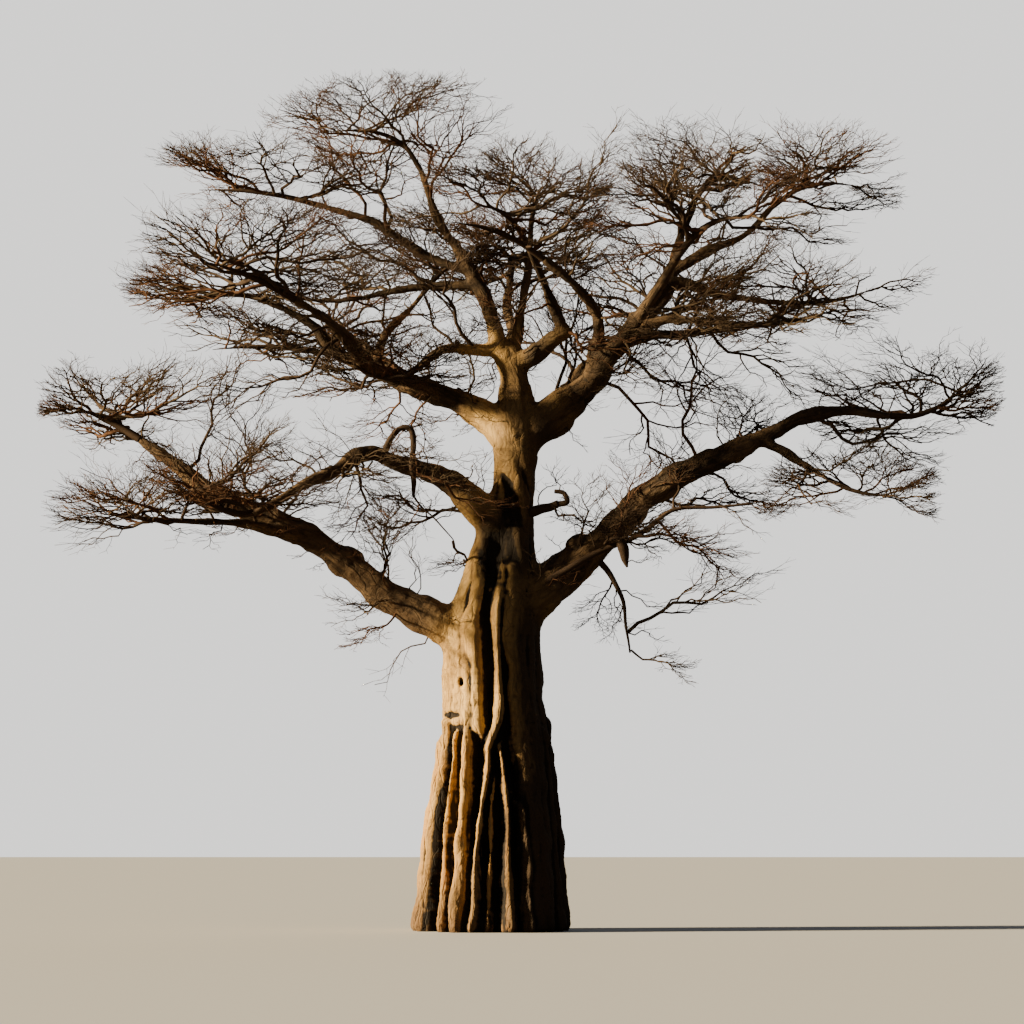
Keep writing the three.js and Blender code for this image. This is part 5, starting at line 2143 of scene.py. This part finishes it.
@dataclass(frozen=True)
class TwigTubes:
    """Turns lines with a girth and a tint at each point into tapering tubes."""

    sides: int
    barks: list[Material]
    tint_width: float = 0.4

    def tree(self) -> NodeTree:
        """The node tree, with inputs for the sides, the girth and each tint's material."""
        names = [f"Bark {tint}" for tint in range(len(self.barks))]
        inputs = {"Geometry": "Geometry", "Sides": "Int", "Girth": "Float",
                  **dict.fromkeys(names, "Material")}
        graph = Graph.group("twig_tubes", "Geometry", inputs, {"Geometry": "Geometry"})
        given = graph.add("NodeGroupInput").outputs
        line = graph.add("GeometryNodeMeshToCurve", {0: given["Geometry"]}).outputs[0]
        ring = graph.add("GeometryNodeCurvePrimitiveCircle",
                         {"Resolution": given["Sides"], "Radius": given["Girth"]}).outputs[0]
        inputs = {"Curve": line, "Profile Curve": ring, "Scale": graph.named("girth"),
                  "Fill Caps": True}
        tube = graph.add("GeometryNodeCurveToMesh", inputs).outputs[0]
        tube = graph.add("GeometryNodeSetShadeSmooth", {0: tube}).outputs[0]
        dressed = graph.add("GeometryNodeRealizeInstances", {0: tube}).outputs[0]
        own = graph.named("tint")
        for tint, name in enumerate(names):
            chosen = graph.math("COMPARE", own, float(tint), self.tint_width)
            inputs = {"Geometry": dressed, "Selection": chosen, "Material": given[name]}
            dressed = graph.add("GeometryNodeSetMaterial", inputs).outputs[0]
        graph.add("NodeGroupOutput", {"Geometry": dressed})
        return graph.tree

    def piece(self, name: str, curves: Array, radii: Array, tints: Array) -> Object:
        """Makes one joined piece of tubes.

        Args:
            name: The piece's name.
            curves: Paths, as an array of (path, point, 3).
            radii: The radius at each point.
            tints: The tint of each path.

        Returns:
            The piece.
        """
        count, points = curves.shape[:2]
        base = (np.arange(count) * points)[:, None] + np.arange(points - 1)[None]
        edges = np.stack([base, base + 1], axis=-1)
        mesh = bpy.data.meshes.new(name)
        mesh.vertices.add(count * points)
        mesh.vertices.foreach_set("co", curves.astype(np.float32).ravel())
        mesh.edges.add(count * (points - 1))
        mesh.edges.foreach_set("vertices", edges.astype(np.int32).ravel())
        store(mesh, "girth", radii.ravel().astype(np.float32))
        store(mesh, "tint", np.repeat(tints, points).astype(np.float32))
        for bark in self.barks:
            mesh.materials.append(bark)
        inputs = {f"Bark {tint}": bark for tint, bark in enumerate(self.barks)}
        inputs |= {"Sides": self.sides, "Girth": 1.0}
        tubes = shaped(placed(name, mesh), name, self.tree(), inputs)
        for key in ("girth", "tint"):
            if key in tubes.attributes:
                tubes.attributes.remove(tubes.attributes[key])
        return placed(name, tubes)


class Light(Enum):
    """The soft studio lights: the way to each from the tree, its softness, power and colour."""

    KEY = ((-0.94, -0.2, 0.26), 5.0, 13.0, (1.0, 0.76, 0.42))
    FILL = ((0.35, -0.8, 0.4), 60.0, 0.05, (0.95, 0.96, 1.0))
    BACK = ((0.2, 0.9, 0.5), 60.0, 0.2, (1.0, 0.95, 0.88))

    def lamp(self, distance: float) -> None:
        """Hangs the light at a distance from the tree's foot, turned towards it."""
        way, softness, power, colour = self.value
        data = bpy.data.lights.new(self.name.lower(), "SUN")
        data.angle = math.radians(softness)
        data.energy, data.color = power, colour
        lamp = placed(self.name.lower(), data)
        lamp.location = Vector(way) * distance
        turned(lamp, -Vector(way))


def turned(piece: Object, way: Vector) -> None:
    """Turns a light or a camera to look a way."""
    piece.rotation_euler = way.to_track_quat("-Z", "Y").to_euler()


@dataclass(frozen=True)
class Studio:
    """The pale floor, the soft lights and the camera at the photograph's viewing angle."""

    eye: Triple = (0.45, -65.0, 1.9)
    aim: Triple = (0.45, 0.0, 8.75)
    lens: float = 109.0
    sensor: float = 36.0
    sight: float = 1000.0
    lamp_distance: float = 40.0
    floor_half: float = 260.0
    floor_roughness: float = 0.95
    pale: Triple = (0.8, 0.79, 0.77)
    ground: Triple = (0.72, 0.78, 0.9)
    bounce: Triple = (0.05, 0.042, 0.035)
    backdrop: float = 1.7
    ambient: float = 0.05

    def build(self) -> None:
        """Builds the stage."""
        self.floor()
        self.world()
        for light in Light:
            light.lamp(self.lamp_distance)
        camera = bpy.data.cameras.new("camera")
        camera.lens, camera.sensor_width, camera.clip_end = self.lens, self.sensor, self.sight
        view = placed("camera", camera)
        view.location = self.eye
        turned(view, Vector(self.aim) - Vector(self.eye))
        bpy.context.scene.camera = view

    def floor(self) -> None:
        """Lays a plain pale floor under the tree."""
        corners = np.array([(-1, -1, 0), (1, -1, 0), (1, 1, 0), (-1, 1, 0)]) * self.floor_half
        ground = placed("floor", plain_mesh("floor", corners, [[0, 1, 2, 3]]))
        finish, graph, shader = new_material("floor")
        seen = graph.add("ShaderNodeLightPath").outputs["Is Camera Ray"]
        graph.feed(shader, {"Base Color": graph.blend(seen, self.bounce, self.ground),
                            "Roughness": self.floor_roughness})
        ground.data.materials.append(finish)

    def world(self) -> None:
        """Surrounds the stage with a plain pale light, brighter where it is seen directly."""
        world = bpy.data.worlds.new("studio")
        world.use_nodes = True
        graph = Graph(world.node_tree)
        seen = graph.add("ShaderNodeLightPath").outputs["Is Camera Ray"]
        strength = graph.line(seen, self.backdrop - self.ambient, self.ambient)
        graph.feed(world.node_tree.nodes["Background"],
                   {"Color": (*self.pale, 1), "Strength": strength})
        bpy.context.scene.world = world


TRUNK_FINISH = BarkFinish("trunk_bark")
BOUGH_FINISH = BarkFinish("bough_bark")
TWIG_FINISHES = (
    TwigFinish("twig_brown", (0.065, 0.037, 0.022)),
    TwigFinish("twig_red_brown", (0.13, 0.058, 0.027)),
    TwigFinish("twig_grey_brown", (0.1, 0.066, 0.04)),
)


def seated(piece: Object, nodes: list[str]) -> None:
    """Makes a piece ride with the tree, in place of the nodes it stands for."""
    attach(piece, "root")
    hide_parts(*nodes)
    triangles = sum(len(face.vertices) - 2 for face in piece.data.polygons)
    log.info("%s: %d triangles", piece.name, triangles)


def twig_node(limb: str) -> str:
    """The name of the node of a limb's twigs."""
    return limb.removesuffix("_bough") + "_twigs"


@dataclass
class Timber:
    """The trunk and boughs, dressed in bark."""

    skin: Skin
    middle: float = 0.4
    loose_sides: int = 14
    loose_gnarl: float = 0.012

    def build(self) -> None:
        """Builds the pieces of bark and the loose branches, and seats them."""
        pattern = BarkPattern().group()
        trunk_bark = TRUNK_FINISH.material(pattern)
        bough_bark = BOUGH_FINISH.material(pattern)
        whole = self.skin.build(trunk_bark)
        sides: dict[str, list[str]] = {"left_boughs": [], "right_boughs": []}
        groups = {"trunk_foot": [FOOT_WOOD], "trunk_wood": [0], **{side: [] for side in sides}}
        for number, limb in enumerate(self.skin.limbs, start=1):
            is_left = limb.path[:, 0].mean() < self.middle
            side = "left_boughs" if is_left else "right_boughs"
            sides[side].append(limb.plan.name)
            groups[side].append(number)
        for piece in self.skin.pieces(whole, groups):
            if piece.name in sides:
                piece.data.materials.clear()
                piece.data.materials.append(bough_bark)
                seated(piece, sides[piece.name])
            else:
                seated(piece, ["trunk"])
        bpy.data.meshes.remove(whole)
        self.loose_branches()

    def loose_branches(self) -> None:
        """Builds the slender limbs that stand apart from the skin."""
        limbs = self.skin.framework.limbs
        loose = {name: limbs[name] for name in LONE_LIMBS} | self.skin.framework.loose
        tubes = TwigTubes(self.loose_sides, [finish.material() for finish in TWIG_FINISHES])
        for name, limb in loose.items():
            curve, radii = fine_path(limb)
            seed = np.array([limb.seed], np.uint32)
            curve = gnarled(curve[None], seed, self.loose_gnarl)
            piece = tubes.piece(name + "_wood", curve, radii[None], np.zeros(1))
            seated(piece, [name] if name in limbs else [])


@dataclass
class TwigMasses:
    """The twigs of every mass, joined by kind into pieces, with each level's own values."""

    crown: Crown
    names: tuple[str, ...] = ("stems", "branchlets", "twigs", "fine_twigs", "twig_tips")
    sides: tuple[int, ...] = (8, 6, 4, 3, 3)
    endings: tuple[float, ...] = (0.22, 0.6, 1.0, 1.0, 1.0)
    ending_from: float = 0.55
    limit: int = 190000

    def build(self) -> None:
        """Grows the twigs, makes them tubes and seats the pieces."""
        barks = [finish.material() for finish in TWIG_FINISHES]
        bearing = self.crown.room.bearing
        for shoots in self.crown.grow():
            level = shoots.level
            tubes = TwigTubes(self.sides[level], barks)
            joints = shoots.fine.shape[1] - 1
            triangles = 2 * tubes.sides * joints + 2 * (tubes.sides - 2)
            share = np.linspace(0, 1, joints + 1)[None]
            ending = smooth((share - self.ending_from) / (1 - self.ending_from))
            radii = mix(shoots.radii[:, :1], shoots.radii[:, 1:], share)
            radii = radii * mix(1, self.endings[level], ending)
            pieces = max(1, math.ceil(len(shoots.seeds) * triangles / self.limit))
            bounds = np.linspace(0, len(shoots.seeds), pieces + 1).astype(int)
            for number, (low, high) in enumerate(zip(bounds[:-1], bounds[1:]), start=1):
                part = slice(low, high)
                name = self.names[level] + (f"_{number}" if pieces > 1 else "")
                tints = shoots.spray[part] % len(barks) if level else np.zeros(high - low)
                piece = tubes.piece(name, shoots.fine[part], radii[part], tints)
                homes = sorted(set(shoots.home[part].tolist()) - {-1})
                seated(piece, [twig_node(bearing[h].plan.name) for h in homes])


def main() -> None:
    """Builds the studio, the timber and the twigs."""
    logging.basicConfig(level=logging.INFO, format="%(message)s")
    Studio().build()
    framework = Framework(TrunkForm(), LimbRule())
    Timber(Skin(framework)).build()
    TwigMasses(Crown(framework)).build()


if __name__ == "__main__":
    main()
